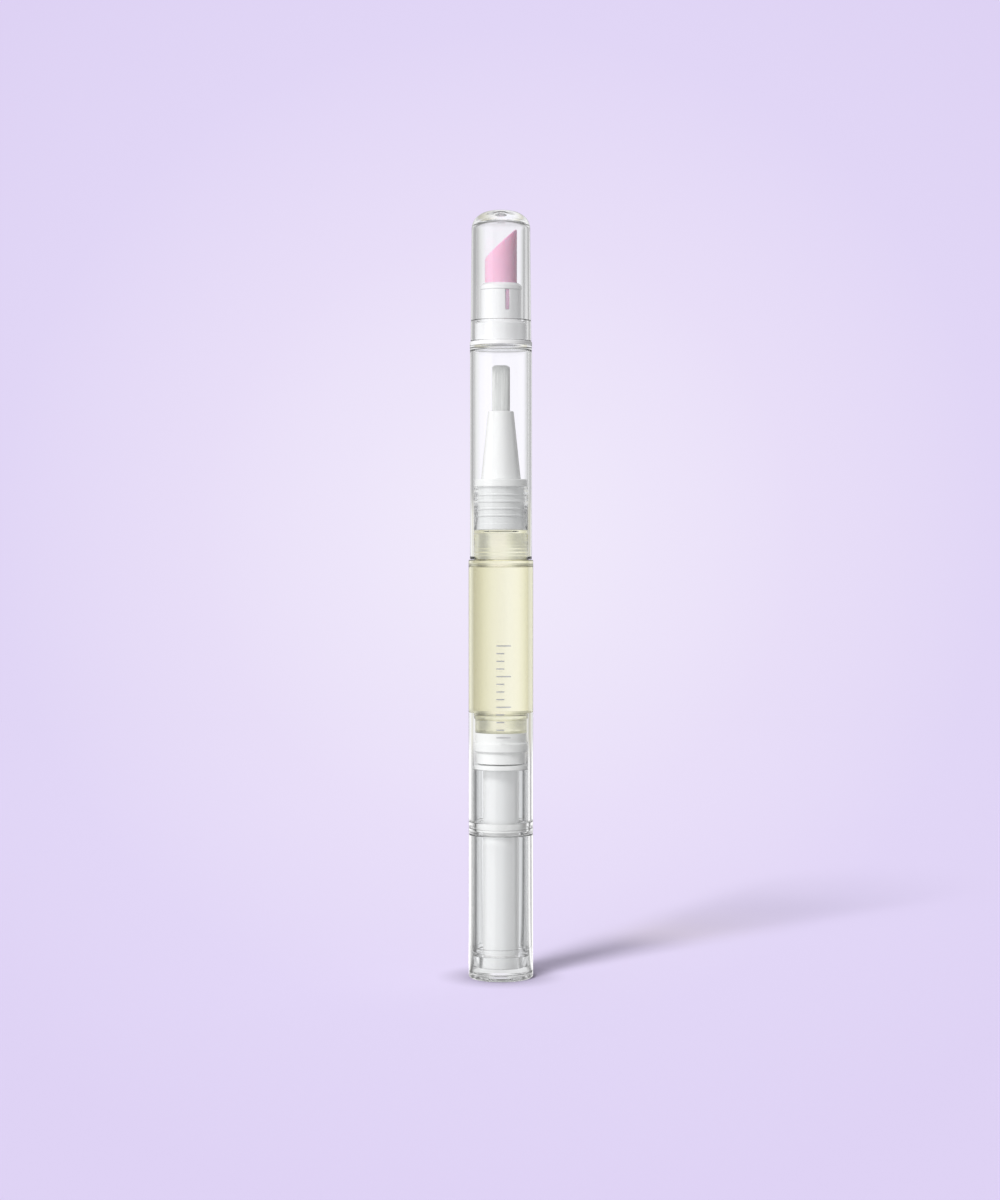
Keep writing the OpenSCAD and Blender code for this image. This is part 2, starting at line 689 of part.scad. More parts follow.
// White driver tube: keyed in the end plug, and with flats inside that turn the screw
module driver_tube() {
    foot_flat_w = driver_d - driver_groove_depth;
    way_flat_w = screw_flat_w + running_fit * 2;
    way_z = driver_z + driver_floor;
    color(white_plastic) difference() {
        union() {
            flatted(driver_r, foot_flat_w, driver_z, plug_socket_depth);
            turned([
                [0, plug_top_z],
                [driver_r, plug_top_z],
                [driver_r, click_z],
                [driver_groove_r, click_z],
                [driver_groove_r, click_z + click_h],
                [driver_r, click_z + click_h],
                [driver_r, driver_top_z],
                [0, driver_top_z]]);
            click_key();
        }
        flatted(screw_r + running_fit, way_flat_w, way_z, driver_top_z - way_z + over);
    }
}

// Key in the driver's groove: it fills the click ring's slit and drives the ring round
module click_key() {
    key_w = click_slit_w - running_fit * 2;
    reach = click_hub_r - driver_groove_r;
    translate([driver_groove_r - over, -key_w / 2, click_z]) cube([reach + over, key_w, click_h]);
}

// Split ring snapped in the driver's groove, with spring pawls that trail as the knob turns
module click_ring() {
    color(white_plastic) translate([0, 0, click_z]) linear_extrude(click_h) difference() {
        circle(r = pawl_tip_r);
        circle(r = click_bore_r);
        translate([0, -click_slit_w / 2]) square([pawl_tip_r, click_slit_w]);
        for (i = [0:pawl_count - 1])
            rotate([0, 0, (i + 0.5) * 360 / pawl_count]) pawl_cuts();
    }
}

// What is cut away to leave one pawl: the slot under its arm, the gap to the next pawl, and
// the relief behind the wedge at its trailing end, which drops behind each tooth
module pawl_cuts() {
    end = pawl_sweep / 2;
    root = end - pawl_root_turn;
    next = 360 / pawl_count - end;
    clear_r = pawl_tip_r + over;
    polygon(concat(arc(click_hub_r, -end, root), arc(pawl_in_r, root, -end)));
    polygon(concat(arc(click_hub_r, end, next), arc(clear_r, next, end)));
    polygon(concat([[pawl_tip_r * cos(end), -pawl_tip_r * sin(end)]],
                   arc(pawl_out_r, pawl_wedge_turn - end, end), arc(clear_r, end, -end)));
}

// Ratchet ring: saw teeth inside, each with a long ramp and a steep back
module ratchet_ring() {
    tooth_turn = 360 / tooth_count;
    saw = [for (i = [0:tooth_count - 1], at = [0, 1])
        let (r = at == 0 ? tooth_root_r : tooth_crest_r, a = (i + at) * tooth_turn)
            [r * cos(a), r * sin(a)]];
    color(milky_plastic) translate([0, 0, ratchet_z]) linear_extrude(ratchet_h) difference() {
        circle(r = ratchet_r);
        polygon(saw);
    }
}

// Clear sleeve fixed in the barrel: its ring shows, and the knob turns on its rear skirt
module bearing_sleeve() {
    bead_z = sleeve_z + sleeve_bead_h;
    bead_r = rear_skirt_r + sleeve_bead_rise;
    groove_z = ring_z + ring_h / 2;
    rib_r = rear_bore_r - seat_rib_rise;
    color(clear_plastic) turned([
        [rear_bore_r, sleeve_z],
        [bead_r - sleeve_bead_rise, sleeve_z],
        [bead_r, sleeve_z + sleeve_bead_rise],
        [bead_r, bead_z],
        [rear_skirt_r, bead_z],
        [rear_skirt_r, ring_z],
        [barrel_r - shell_edge, ring_z],
        [barrel_r, ring_z + shell_edge],
        [barrel_r, groove_z - ring_groove_h / 2],
        [barrel_r - ring_groove_depth, groove_z - ring_groove_h / 2],
        [barrel_r - ring_groove_depth, groove_z + ring_groove_h / 2],
        [barrel_r, groove_z + ring_groove_h / 2],
        [barrel_r, ring_top_z - shell_edge],
        [barrel_r - shell_edge, ring_top_z],
        [front_skirt_r, ring_top_z],
        [front_skirt_r, nut_z],
        [sleeve_bore_r, nut_z],
        [sleeve_bore_r, ratchet_z],
        [rib_r, ratchet_z],
        [rib_r, ring_z],
        [rear_bore_r, ring_z]]);
}

// Clear knob: a plain tube, wider inside its foot for the end plug and the sleeve's bead
module knob_shell() {
    color(clear_plastic) turned([
        [knob_seat_r, plug_flange_h],
        [barrel_r - shell_edge, plug_flange_h],
        [barrel_r, plug_flange_h + shell_edge],
        [barrel_r, knob_top_z - shell_edge],
        [barrel_r - shell_edge, knob_top_z],
        [knob_bore_r, knob_top_z],
        [knob_bore_r, knob_seat_z],
        [knob_seat_r, knob_seat_z]]);
}

// Clear end plug: flange, boss pressed in the knob, keyed socket and a moulded recess below
module end_plug() {
    foot_flat_w = driver_d - driver_groove_depth;
    boss_r = knob_seat_r - press_fit;
    color(clear_plastic) difference() {
        turned([
            [0, plug_recess_h],
            [plug_recess_d / 2, plug_recess_h],
            [plug_recess_d / 2 + plug_recess_h, 0],
            [barrel_r - shell_edge * 2, 0],
            [barrel_r, shell_edge * 2],
            [barrel_r, plug_flange_h - shell_edge],
            [barrel_r - shell_edge, plug_flange_h],
            [boss_r, plug_flange_h],
            [boss_r, plug_top_z - shell_edge],
            [boss_r - shell_edge, plug_top_z],
            [0, plug_top_z]]);
        flatted(driver_r + press_fit, foot_flat_w + press_fit * 2,
                plug_top_z - plug_socket_depth, plug_socket_depth + over);
    }
    color(clear_plastic) translate([0, 0, plug_recess_h - plug_mark_h])
        cylinder(d = plug_mark_d, h = plug_mark_h + shell_edge);
}

pusher_cap();
pusher_tip();
pusher_holder();
brush_cap();
bristles();
tuft_collar();
feed_tube();
nozzle_cone();
neck_plug();
barrel();
neck_oil();
oil();
cup_oil();
piston();
screw_rod();
guide_nut();
driver_tube();
click_ring();
ratchet_ring();
bearing_sleeve();
knob_shell();
end_plug();
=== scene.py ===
"""Twist-up nail oil pen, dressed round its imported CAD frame.

The script follows the pen from its foot to its dome: the knob and its drive, the barrel with
the oil, the brush under its cap, and the cuticle pusher under its own cap. The table, the
light and the camera come last. Everything is in metres, in the frame's own axes: the pen
stands on the origin with its axis along Z, and the camera looks along +Y.
"""
import math
import random

import bmesh
import bpy
from mathutils import Matrix, Vector


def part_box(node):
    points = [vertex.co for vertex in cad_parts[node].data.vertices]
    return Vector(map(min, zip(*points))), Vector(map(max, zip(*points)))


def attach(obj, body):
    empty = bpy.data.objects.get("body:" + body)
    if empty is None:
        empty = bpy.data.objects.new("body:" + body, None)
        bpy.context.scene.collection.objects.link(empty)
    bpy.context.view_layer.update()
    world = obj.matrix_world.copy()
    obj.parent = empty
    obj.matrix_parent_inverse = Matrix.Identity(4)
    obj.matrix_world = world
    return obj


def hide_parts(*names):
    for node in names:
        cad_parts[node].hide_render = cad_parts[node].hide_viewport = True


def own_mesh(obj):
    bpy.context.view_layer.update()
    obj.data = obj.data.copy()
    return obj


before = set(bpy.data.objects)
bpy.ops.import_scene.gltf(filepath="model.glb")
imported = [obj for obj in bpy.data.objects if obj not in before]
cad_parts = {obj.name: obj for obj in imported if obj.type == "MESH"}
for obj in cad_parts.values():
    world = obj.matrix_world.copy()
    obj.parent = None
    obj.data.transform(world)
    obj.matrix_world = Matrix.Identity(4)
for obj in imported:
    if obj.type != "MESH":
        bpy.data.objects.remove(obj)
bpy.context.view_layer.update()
MM = 0.001

# End plug
# The clear plug that the pen stands on, moulded in hard plastic and pressed in the knob's foot,
# with a socket that has two flats for the driver tube. The shallow recess below it holds the pip
# that the mould leaves.

TURN_STEPS = 144  # straight steps round every turned piece
CORNER_STEPS = 5  # straight steps in every rounded corner
HOLD = 0.05  # narrow band beside each rounded corner, which keeps the walls shaded flat
HAIR = 0.01  # far less than any step in a piece
NOISE_LOW, NOISE_HIGH = 0.3, 0.7  # where most values of a mottle lie


def rounded(corners):
    """The outline through corners (radius, height, rounding, half width across flats), in
    millimetres, with an arc at each corner that has a rounding."""
    outline = []
    for i, corner in enumerate(corners):
        r, z, rounding, flat = tuple(corner) + (0, None)[len(corner) - 2:]
        here = Vector((r, z))
        before, after = Vector(corners[i - 1][:2]), Vector(corners[(i + 1) % len(corners)][:2])
        back, on = before - here, after - here
        if not rounding or back.length < 1e-9 or on.length < 1e-9:
            outline.append((r, z, flat))
            continue
        half = back.angle(on) / 2
        cut = min(rounding / math.tan(half), back.length / 2, on.length / 2)
        bend = cut * math.tan(half)
        start, end = here + back.normalized() * cut, here + on.normalized() * cut
        centre = here + (back.normalized() + on.normalized()).normalized() * (bend / math.sin(half))
        first, last = start - centre, end - centre
        sweep = first.angle_signed(last)
        hold = min(HOLD, back.length / 2 - cut)
        if hold > 1e-4:
            outline.append((*(start + back.normalized() * hold), flat))
        for step in range(CORNER_STEPS + 1):
            turn = -sweep * step / CORNER_STEPS
            p = centre + Vector((first.x * math.cos(turn) - first.y * math.sin(turn),
                                 first.x * math.sin(turn) + first.y * math.cos(turn)))
            outline.append((p.x, p.y, flat))
        hold = min(HOLD, on.length / 2 - cut)
        if hold > 1e-4:
            outline.append((*(end + on.normalized() * hold), flat))
    return outline


def finished(name, build, sharp_deg=35):
    """A mesh object from a bmesh, with its faces outwards and its sharp edges kept."""
    bmesh.ops.remove_doubles(build, verts=build.verts, dist=1e-7)
    if build.calc_volume(signed=True) < 0:
        bmesh.ops.reverse_faces(build, faces=build.faces)
    mesh = bpy.data.meshes.new(name)
    build.to_mesh(mesh)
    build.free()
    mesh.shade_smooth()
    mesh.set_sharp_from_angle(angle=math.radians(sharp_deg))
    piece = bpy.data.objects.new(name, mesh)
    bpy.context.scene.collection.objects.link(piece)
    return piece


def point(build, x, y, z):
    """A point of a mesh, from millimetres."""
    return build.verts.new((x * MM, y * MM, z * MM))


def turns(steps):
    """Even angles once round."""
    return [2 * math.pi * i / steps for i in range(steps)]


def circle(build, r, z, steps, x=0, y=0, flat=None):
    """A level ring of points round (x, y), cut off at flat on both sides."""
    reach = r if flat is None else flat
    return [point(build, x + max(-reach, min(reach, r * math.cos(a))), y + r * math.sin(a), z)
            for a in turns(steps)]


def skin(build, rings, looped=False, capped=False):
    """Faces from each ring of points to the next, where a ring of one point closes the form.
    Looped joins the last ring to the first, and capped closes both ends with a face."""
    for low, high in zip(rings, rings[1:] + (rings[:1] if looped else [])):
        around = max(len(low), len(high))
        for k in range(around if around > 1 else 0):
            n = (k + 1) % around
            if len(low) == 1:
                build.faces.new((low[0], high[n], high[k]))
            elif len(high) == 1:
                build.faces.new((low[k], low[n], high[0]))
            else:
                build.faces.new((low[k], low[n], high[n], high[k]))
    if capped:
        build.faces.new(rings[0][::-1])
        build.faces.new(rings[-1])


def turned(name, corners, sharp_deg=35):
    """A closed piece turned about the pen's axis from its outline. Points on the axis close it,
    and a corner with flats is cut off at that distance on both sides."""
    build = bmesh.new()
    rings = []
    for r, z, flat in rounded(corners):
        rings.append([point(build, 0, 0, z)] if r < 1e-6 else circle(build, r, z, TURN_STEPS, flat=flat))
    skin(build, rings, looped=True)
    return finished(name, build, sharp_deg)


def shaded(name, colour, sockets):
    """A material with one Principled shader. Its constants sit on the shader's own sockets."""
    made = bpy.data.materials.new(name)
    made.use_nodes = True
    shader = made.node_tree.nodes["Principled BSDF"]
    shader.inputs["Base Color"].default_value = (*colour, 1)
    for socket, value in sockets.items():
        shader.inputs[socket].default_value = value
    return made


def wired(made, kind, inputs, **settings):
    """The outputs of a new node in a material or world. Each of its inputs gets a plain value, or
    comes from the output of another node."""
    node = made.node_tree.nodes.new(kind)
    for name, value in settings.items():
        setattr(node, name, value)
    for name, value in inputs.items():
        if isinstance(value, bpy.types.NodeSocket):
            made.node_tree.links.new(value, node.inputs[name])
        elif value is not None:
            node.inputs[name].default_value = value
    return node.outputs


def mottle(made, patches, stretch):
    """Soft noise fixed in the piece, of that many patches to the metre, as a value from 0 to 1."""
    place = wired(made, "ShaderNodeTexCoord", {})["Object"]
    place = wired(made, "ShaderNodeMapping", {"Vector": place, "Scale": stretch})["Vector"]
    return wired(made, "ShaderNodeTexNoise", {"Vector": place, "Scale": patches, "Detail": 3.0})["Fac"]


def feed(made, value, socket):
    """Joins a value to a socket of the material's shader."""
    made.node_tree.links.new(value, made.node_tree.nodes["Principled BSDF"].inputs[socket])


def roughened(made, patches, low, high, stretch=(1, 1, 1)):
    """Roughness that wanders from low to high."""
    spread = wired(made, "ShaderNodeMapRange", {
        "Value": mottle(made, patches, stretch), "From Min": NOISE_LOW, "From Max": NOISE_HIGH,
        "To Min": low, "To Max": high})
    feed(made, spread["Result"], "Roughness")


def bumped(made, patches, height, stretch=(1, 1, 1)):
    """Relief of that height in millimetres."""
    relief = wired(made, "ShaderNodeBump", {
        "Height": mottle(made, patches, stretch), "Distance": height * MM})
    feed(made, relief["Normal"], "Normal")


def lets_lamps_in(made, veil, soft_veil=0.99):
    """Clear pieces let the lamps' light through to what they hold, dimmed by veil, and the
    soft light of the room, dimmed by soft_veil."""
    rays = wired(made, "ShaderNodeLightPath", {})
    seen = made.node_tree.nodes["Principled BSDF"].outputs[0]
    for which, tint in (("Is Diffuse Ray", (soft_veil,) * 3), ("Is Shadow Ray", veil)):
        through = wired(made, "ShaderNodeBsdfTransparent", {"Color": (*tint, 1)})[0]
        seen = wired(made, "ShaderNodeMixShader", {"Fac": rays[which], 1: seen, 2: through})[0]
    made.node_tree.links.new(seen, made.node_tree.nodes["Material Output"].inputs["Surface"])


def clear_plastic(name, veil=0.88, soft_veil=0.99):
    """Polished clear plastic, with the faint lengthwise flow and the haze of a moulding."""
    made = shaded(name, (0.985, 0.99, 0.995), {"Transmission Weight": 1.0, "IOR": 1.49})
    roughened(made, 900, 0.0, 0.015, (1, 1, 0.2))
    bumped(made, 260, 0.002, (1, 1, 0.12))
    lets_lamps_in(made, (veil,) * 3, soft_veil)
    return made


def dress(piece, *materials):
    """Puts the materials on a piece, first slot first, in place of what it had."""
    piece.data.materials.clear()
    for material in materials:
        piece.data.materials.append(material)


def dress_faces(piece, slot, chosen):
    """Puts the material of that slot on the faces that chosen picks, from face and corners."""
    for face in piece.data.polygons:
        if chosen(face, [piece.data.vertices[v].co / MM for v in face.vertices]):
            face.material_index = slot


def radius(node):
    """A node's radius in millimetres."""
    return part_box(node)[1].x / MM


def span(node):
    """A node's lowest and highest height in millimetres."""
    low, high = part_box(node)
    return low.z / MM, high.z / MM


barrel_r = radius("barrel")
shell_edge = 0.12  # rounding on the outer edges of the clear shells
plug_flange_h = 1.2
plug_boss_r = 5.13
plug_top_z = span("end_plug")[1]
plug_recess_r, plug_recess_h = 3.4, 0.35
pip_r, pip_h = 1.1, 0.2
driver_r = radius("driver_tube")
driver_z, driver_top_z = span("driver_tube")
driver_flat = 2.975  # from the axis to each flat of the driver's foot
socket_gap = 0.02

polished = clear_plastic("clear_plastic")
polished_foot = clear_plastic("clear_plastic_foot", 0.45, 0.3)

end_plug = turned("end_plug_clear", [
    (0, plug_recess_h - pip_h),
    (pip_r, plug_recess_h - pip_h, 0.06),
    (pip_r, plug_recess_h),
    (plug_recess_r, plug_recess_h, 0.1),
    (plug_recess_r + plug_recess_h, 0, 0.1),
    (barrel_r, 0, 0.24),
    (barrel_r, plug_flange_h, shell_edge),
    (plug_boss_r, plug_flange_h),
    (plug_boss_r, plug_top_z, shell_edge),
    (driver_r + socket_gap, plug_top_z, 0.1, driver_flat + socket_gap),
    (driver_r + socket_gap, driver_z, 0, driver_flat + socket_gap),
    (0, driver_z)])
dress(end_plug, polished, polished_foot)
dress_faces(end_plug, 1, lambda face, corners: max(c.z for c in corners) < plug_flange_h + HAIR)
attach(end_plug, "knob")
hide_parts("end_plug")

# Knob shell
# The clear tube that the fingers turn. It is moulded with a wider seat inside its foot, which
# grips the end plug and clears the bead of the bearing sleeve.

knob_z, knob_top_z = span("knob_shell")
knob_bore_r, knob_seat_r, knob_seat_z = 4.95, 5.15, 5.6

knob_shell = turned("knob_shell_clear", [
    (knob_seat_r, knob_z),
    (barrel_r, knob_z, shell_edge),
    (barrel_r, knob_top_z, shell_edge),
    (knob_bore_r, knob_top_z, 0.08),
    (knob_bore_r, knob_seat_z),
    (knob_seat_r, knob_seat_z, 0.05)])
dress(knob_shell, polished)
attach(knob_shell, "knob")
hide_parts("knob_shell")

# Driver tube and click ring
# White plastic tube keyed in the end plug, so that it turns with the knob. Two flats inside it
# turn the screw, and a split ring with spring pawls sits in a groove round it.


def tinted(made, patches, colour_a, colour_b, stretch=(1, 1, 1)):
    """Base colour that wanders from one colour to the other."""
    blend = wired(made, "ShaderNodeMix", {
        "Factor": mottle(made, patches, stretch), "A": (*colour_a, 1), "B": (*colour_b, 1)},
        data_type="RGBA")
    feed(made, blend["Result"], "Base Color")


def opaque_plastic(name, colour_a, colour_b, rough, grain=0.006, **sockets):
    """Moulded plastic: a slight mottle in the colour, satin patches and the fine grain of the tool."""
    made = shaded(name, colour_a, {k.replace("_", " "): v for k, v in sockets.items()})
    tinted(made, 420, colour_a, colour_b, (1, 1, 0.35))
    roughened(made, 1500, *rough)
    bumped(made, 5200, grain)
    return made


white = opaque_plastic("white_plastic", (0.92, 0.92, 0.915), (0.885, 0.89, 0.895), (0.14, 0.22),
                       Subsurface_Weight=0.12, Subsurface_Scale=0.0008,
                       Subsurface_Radius=(1, 1, 1), IOR=1.75, Specular_IOR_Level=0.9)

driver_floor = 1.2
way_r, way_flat = 2.05, 1.55  # the way that the screw slides in
click_z, click_top_z = span("click_ring")
ring_seat_r = 2.75  # foot of the groove that the click ring sits in
flat_end_h = 0.05  # where the flats run out into the round tube

driver_tube = turned("driver_tube_white", [
    (0, driver_z),
    (driver_r, driver_z, 0.12, driver_flat),
    (driver_r, plug_top_z, 0, driver_flat),
    (driver_r, plug_top_z + flat_end_h),
    (driver_r, click_z, 0.04),
    (ring_seat_r, click_z),
    (ring_seat_r, click_top_z),
    (driver_r, click_top_z, 0.04),
    (driver_r, driver_top_z, 0.1),
    (way_r, driver_top_z, 0.1, way_flat),
    (way_r, driver_z + driver_floor, 0, way_flat),
    (0, driver_z + driver_floor)])
dress(driver_tube, white)
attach(driver_tube, "knob")
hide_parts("driver_tube")

dress(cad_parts["click_ring"], white)

# Bearing sleeve
# Clear sleeve fixed in the barrel's foot. The knob turns on its rear skirt, its ring fills the
# joint between knob and barrel, and its front skirt reaches up the bore to the guide nut.

sleeve_z, sleeve_top_z = span("bearing_sleeve")
ring_z = 25.8
ring_top_z = span("barrel")[0]
rear_r, rear_bore_r = 4.87, 4.42
front_r, front_bore_r = 4.88, 4.43
bead_rise, bead_h = 0.18, 0.8
rib_r, rib_h = 4.02, 0.5
groove_h, groove_depth = 0.2, 0.25
groove_z = (ring_z + ring_top_z) / 2

bearing_sleeve = turned("bearing_sleeve_clear", [
    (rear_bore_r, sleeve_z, 0.08),
    (rear_r, sleeve_z),
    (rear_r + bead_rise, sleeve_z + bead_rise, 0.08),
    (rear_r + bead_rise, sleeve_z + bead_h, 0.08),
    (rear_r, sleeve_z + bead_h, 0.05),
    (rear_r, ring_z),
    (barrel_r, ring_z, shell_edge),
    (barrel_r, groove_z - groove_h / 2, 0.05),
    (barrel_r - groove_depth, groove_z - groove_h / 2, 0.05),
    (barrel_r - groove_depth, groove_z + groove_h / 2, 0.05),
    (barrel_r, groove_z + groove_h / 2, 0.05),
    (barrel_r, ring_top_z, shell_edge),
    (front_r, ring_top_z, 0.05),
    (front_r, sleeve_top_z, 0.08),
    (front_bore_r, sleeve_top_z, 0.08),
    (front_bore_r, ring_z + rib_h, 0.05),
    (rib_r, ring_z + rib_h, 0.05),
    (rib_r, ring_z, 0.05),
    (rear_bore_r, ring_z, 0.05)])
dress(bearing_sleeve, polished)
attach(bearing_sleeve, "barrel")
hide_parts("bearing_sleeve")

# Ratchet ring, guide nut and screw
# Natural milky plastic for the toothed ring and for the nut, which both stay in the barrel.
# The white screw has a round thread cut off by two flats: it turns in the driver and climbs
# through the nut, and its snap head pushes the piston.

milky = opaque_plastic("milky_plastic", (0.97, 0.975, 0.97), (0.94, 0.95, 0.945), (0.14, 0.24),
                       Subsurface_Weight=0.15, Subsurface_Scale=0.0008,
                       Subsurface_Radius=(1, 1, 1), IOR=1.6, Transmission_Weight=0.06)
dress(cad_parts["ratchet_ring"], milky)

nut_z, nut_top_z = sleeve_top_z, span("guide_nut")[1]
nut_flange_h, nut_hub_r = 0.8, 3.1
screw_r, screw_flat = 2.0, 1.5
thread_lead, thread_depth, thread_sharpness = 1.5, 0.32, 1.4

guide_nut = turned("guide_nut_milky", [
    (way_r, nut_z, 0.1),
    (front_r, nut_z, 0.08),
    (front_r, nut_z + nut_flange_h, 0.08),
    (nut_hub_r, nut_z + nut_flange_h, 0.1),
    (nut_hub_r, nut_top_z, 0.15),
    (way_r, nut_top_z, 0.1)])
dress(guide_nut, milky)
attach(guide_nut, "barrel")
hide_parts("guide_nut")

screw_z, screw_top_z = span("screw_rod")
screw_shoulder_z = 41.6
neck_r, head_r, head_z = 1.2, 1.7, 42.6
screw_steps, layers_per_turn = 48, 12
end_share, end_slope = 0.75, 0.5  # the thread's ends are narrower, to lead it in


def thread_radius(turn, z):
    """Radius of the screw over its rounded thread, which climbs with the turn."""
    phase = 2 * math.pi * z / thread_lead - turn
    return screw_r - thread_depth * (0.5 - 0.5 * math.cos(phase)) ** thread_sharpness


build = bmesh.new()
layers = int((screw_shoulder_z - screw_z) / thread_lead * layers_per_turn)
rings = [[point(build, 0, 0, screw_z)]]
for layer in range(layers + 1):
    z = screw_z + (screw_shoulder_z - screw_z) * layer / layers
    ends = min(1.0, end_share + (z - screw_z) * end_slope, end_share + (screw_shoulder_z - z) * end_slope)
    ring = []
    for a in turns(screw_steps):
        r = thread_radius(a, z) * ends
        ring.append(point(build, max(-screw_flat, min(screw_flat, r * math.cos(a))), r * math.sin(a), z))
    rings.append(ring)
for r, z in ((neck_r, screw_shoulder_z), (neck_r, head_z), (head_r, head_z), (neck_r, screw_top_z)):
    rings.append(circle(build, r, z, screw_steps))
rings.append([point(build, 0, 0, screw_top_z)])
skin(build, rings)
screw = finished("screw_threaded", build, 50)
dress(screw, white)
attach(screw, "screw")
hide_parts("screw_rod")

# Piston
# One milky moulding: a front cup with a sealing lip, a second sealing land, a rear skirt round
# the nut's hub, and the pocket that the screw's head snaps in.

piston_z, piston_top_z = span("piston")
bore_r = 4.9
lip_r, waist_r, skirt_r = 4.85, 4.6, 4.4
cup_r, hollow_r, thin_wall_r = 4.15, 3.35, 3.65
land_z, waist_z = piston_z + 2.0, piston_z + 3.6
ramp = 0.25  # height of the slopes that lead to the land and the lip
lip_z = piston_top_z - 0.9
cup_floor_z, pocket_top_z, pocket_z, hollow_top_z = 43.9, 43.1, 42.5, 41.8
pocket_r, snap_r = 1.8, 1.25

piston = turned("piston_milky", [
    (hollow_r, piston_z, 0.1),
    (skirt_r, piston_z, 0.15),
    (skirt_r, land_z, 0.1),
    (lip_r, land_z + ramp, 0.1),
    (lip_r, waist_z, 0.1),
    (waist_r, waist_z + ramp, 0.1),
    (waist_r, cup_floor_z),
    (waist_r, lip_z - ramp, 0.1),
    (lip_r, lip_z, 0.1),
    (lip_r, piston_top_z, 0.06),
    (cup_r + ramp, piston_top_z, 0.08),
    (cup_r, lip_z, 0.1),
    (cup_r, cup_floor_z, 0.4),
    (0, cup_floor_z),
    (0, pocket_top_z),
    (pocket_r, pocket_top_z),
    (pocket_r, pocket_z),
    (snap_r, pocket_z),
    (snap_r, hollow_top_z),
    (hollow_r, hollow_top_z, 0.2)])


def hazy_plastic(name, colour, rough, grain, veil, scales=(900, 700)):
    """Clear plastic with a satin face, and a grain of that height in millimetres."""
    made = shaded(name, colour, {"Transmission Weight": 1.0, "IOR": 1.49})
    roughened(made, scales[0], *rough)
    bumped(made, scales[1], grain)
    lets_lamps_in(made, (veil,) * 3)
    return made


thin = hazy_plastic("milky_plastic_thin", (0.985, 0.99, 0.985), (0.04, 0.12), 0.004, 0.85)
dress(piston, milky, thin)
dress_faces(piston, 1, lambda face, corners: min(c.z for c in corners) > cup_floor_z - HAIR
            and max(math.hypot(*c.xy) for c in corners) > thin_wall_r)
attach(piston, "piston")
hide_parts("piston")

# Barrel
# Clear tube that holds the oil, moulded in one piece with the shoulder that the cap rests on
# and a neck with two snap beads. Fine moulding rings run round the foot of the neck's bore.

shoulder_z, neck_top_z = 74.6, span("barrel")[1]
bore_top_z, throat_z = 73.4, 73.9
neck_r_out, neck_bore_r = 4.85, 4.4
snap_r_out, snap_h, snap_step = 4.92, 0.9, 1.9
snap_top_z = neck_top_z - 0.95
ripple, ripple_step, ripple_count, ripple_points = 0.012, 0.62, 8, 6
ripple_z = throat_z + 0.7


def bead(centre_z, steps=8):
    """Half-round bead on the neck, from its foot up."""
    return [(neck_r_out + (snap_r_out - neck_r_out) * math.cos(a), centre_z + snap_h / 2 * math.sin(a))
            for a in (math.pi * (i / steps - 0.5) for i in range(steps + 1))]


ripples = [(neck_bore_r + ripple * (1 - math.cos(2 * math.pi * i / ripple_points)) / 2,
            ripple_z + i * ripple_step / ripple_points)
           for i in range(ripple_count * ripple_points, -1, -1)]

barrel = turned("barrel_clear", [
    (bore_r, ring_top_z, 0.05),
    (barrel_r, ring_top_z, shell_edge),
    (barrel_r, shoulder_z, 0.18),
    (neck_r_out, shoulder_z, 0.08),
    *bead(snap_top_z - snap_step),
    *bead(snap_top_z),
    (neck_r_out, neck_top_z, 0.1),
    (neck_bore_r, neck_top_z, 0.05),
    *ripples,
    (neck_bore_r, throat_z, 0.25),
    (bore_r, bore_top_z, 0.2)], sharp_deg=40)
dress(barrel, polished)
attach(barrel, "barrel")
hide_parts("barrel")

# Fill scale
# A plain scale of short lines, printed round the front of the barrel in soft silver ink. Every
# fourth line is longer. It is generic, and stands in the bare place on the barrel's front.

silver = shaded("silver_ink", (0.52, 0.52, 0.53), {"Metallic": 0.75, "IOR": 1.5})
roughened(silver, 2600, 0.3, 0.5)
tinted(silver, 1400, (0.60, 0.60, 0.61), (0.46, 0.46, 0.475))

mark_from_z, mark_pitch, mark_count = 43.2, 1.35, 13
mark_h, mark_lift, mark_t = 0.22, 0.001, 0.005
mark_short, mark_long = 14, 26  # degrees of the barrel's front that a line covers
mark_start = -8  # degrees from the front towards +X where every line begins


def scale_line(build, z, start_deg, sweep_deg):
    """One printed line: a thin curved plate laid on the barrel."""
    steps = 10
    rows = []
    for i in range(steps + 1):
        a = math.radians(start_deg + sweep_deg * i / steps)
        row = []
        for r, dz in ((mark_lift, 0), (mark_t, 0), (mark_t, mark_h), (mark_lift, mark_h)):
            reach = (barrel_r + r) * MM
            row.append(build.verts.new((reach * math.sin(a), -reach * math.cos(a), (z + dz) * MM)))
        rows.append(row)
    skin(build, rows, capped=True)


build = bmesh.new()
for mark in range(mark_count):
    scale_line(build, mark_from_z + mark * mark_pitch, mark_start,
               mark_long if mark % 4 == 0 else mark_short)
fill_scale = finished("fill_scale_silver", build)
dress(fill_scale, silver)
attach(fill_scale, "barrel")

# Oil
# Pale yellow oil. It wets the plastic, so each body of oil reaches a little into the wall and no film of
# air shows. The column fills the bore from the piston's cup up, the oil in the neck stays with the
# barrel, and the oil in the piston's cup rides with the piston.

oil_look = shaded("pale_oil", (0.97, 0.95, 0.80), {"Transmission Weight": 1.0, "IOR": 1.47})
roughened(oil_look, 300, 0.0, 0.01)
lets_lamps_in(oil_look, (0.96, 0.95, 0.82))
tree = oil_look.node_tree
soaks = wired(oil_look, "ShaderNodeVolumeAbsorption", {"Color": (0.90, 0.84, 0.25, 1), "Density": 18.0})
tree.links.new(soaks[0], tree.nodes["Material Output"].inputs["Volume"])

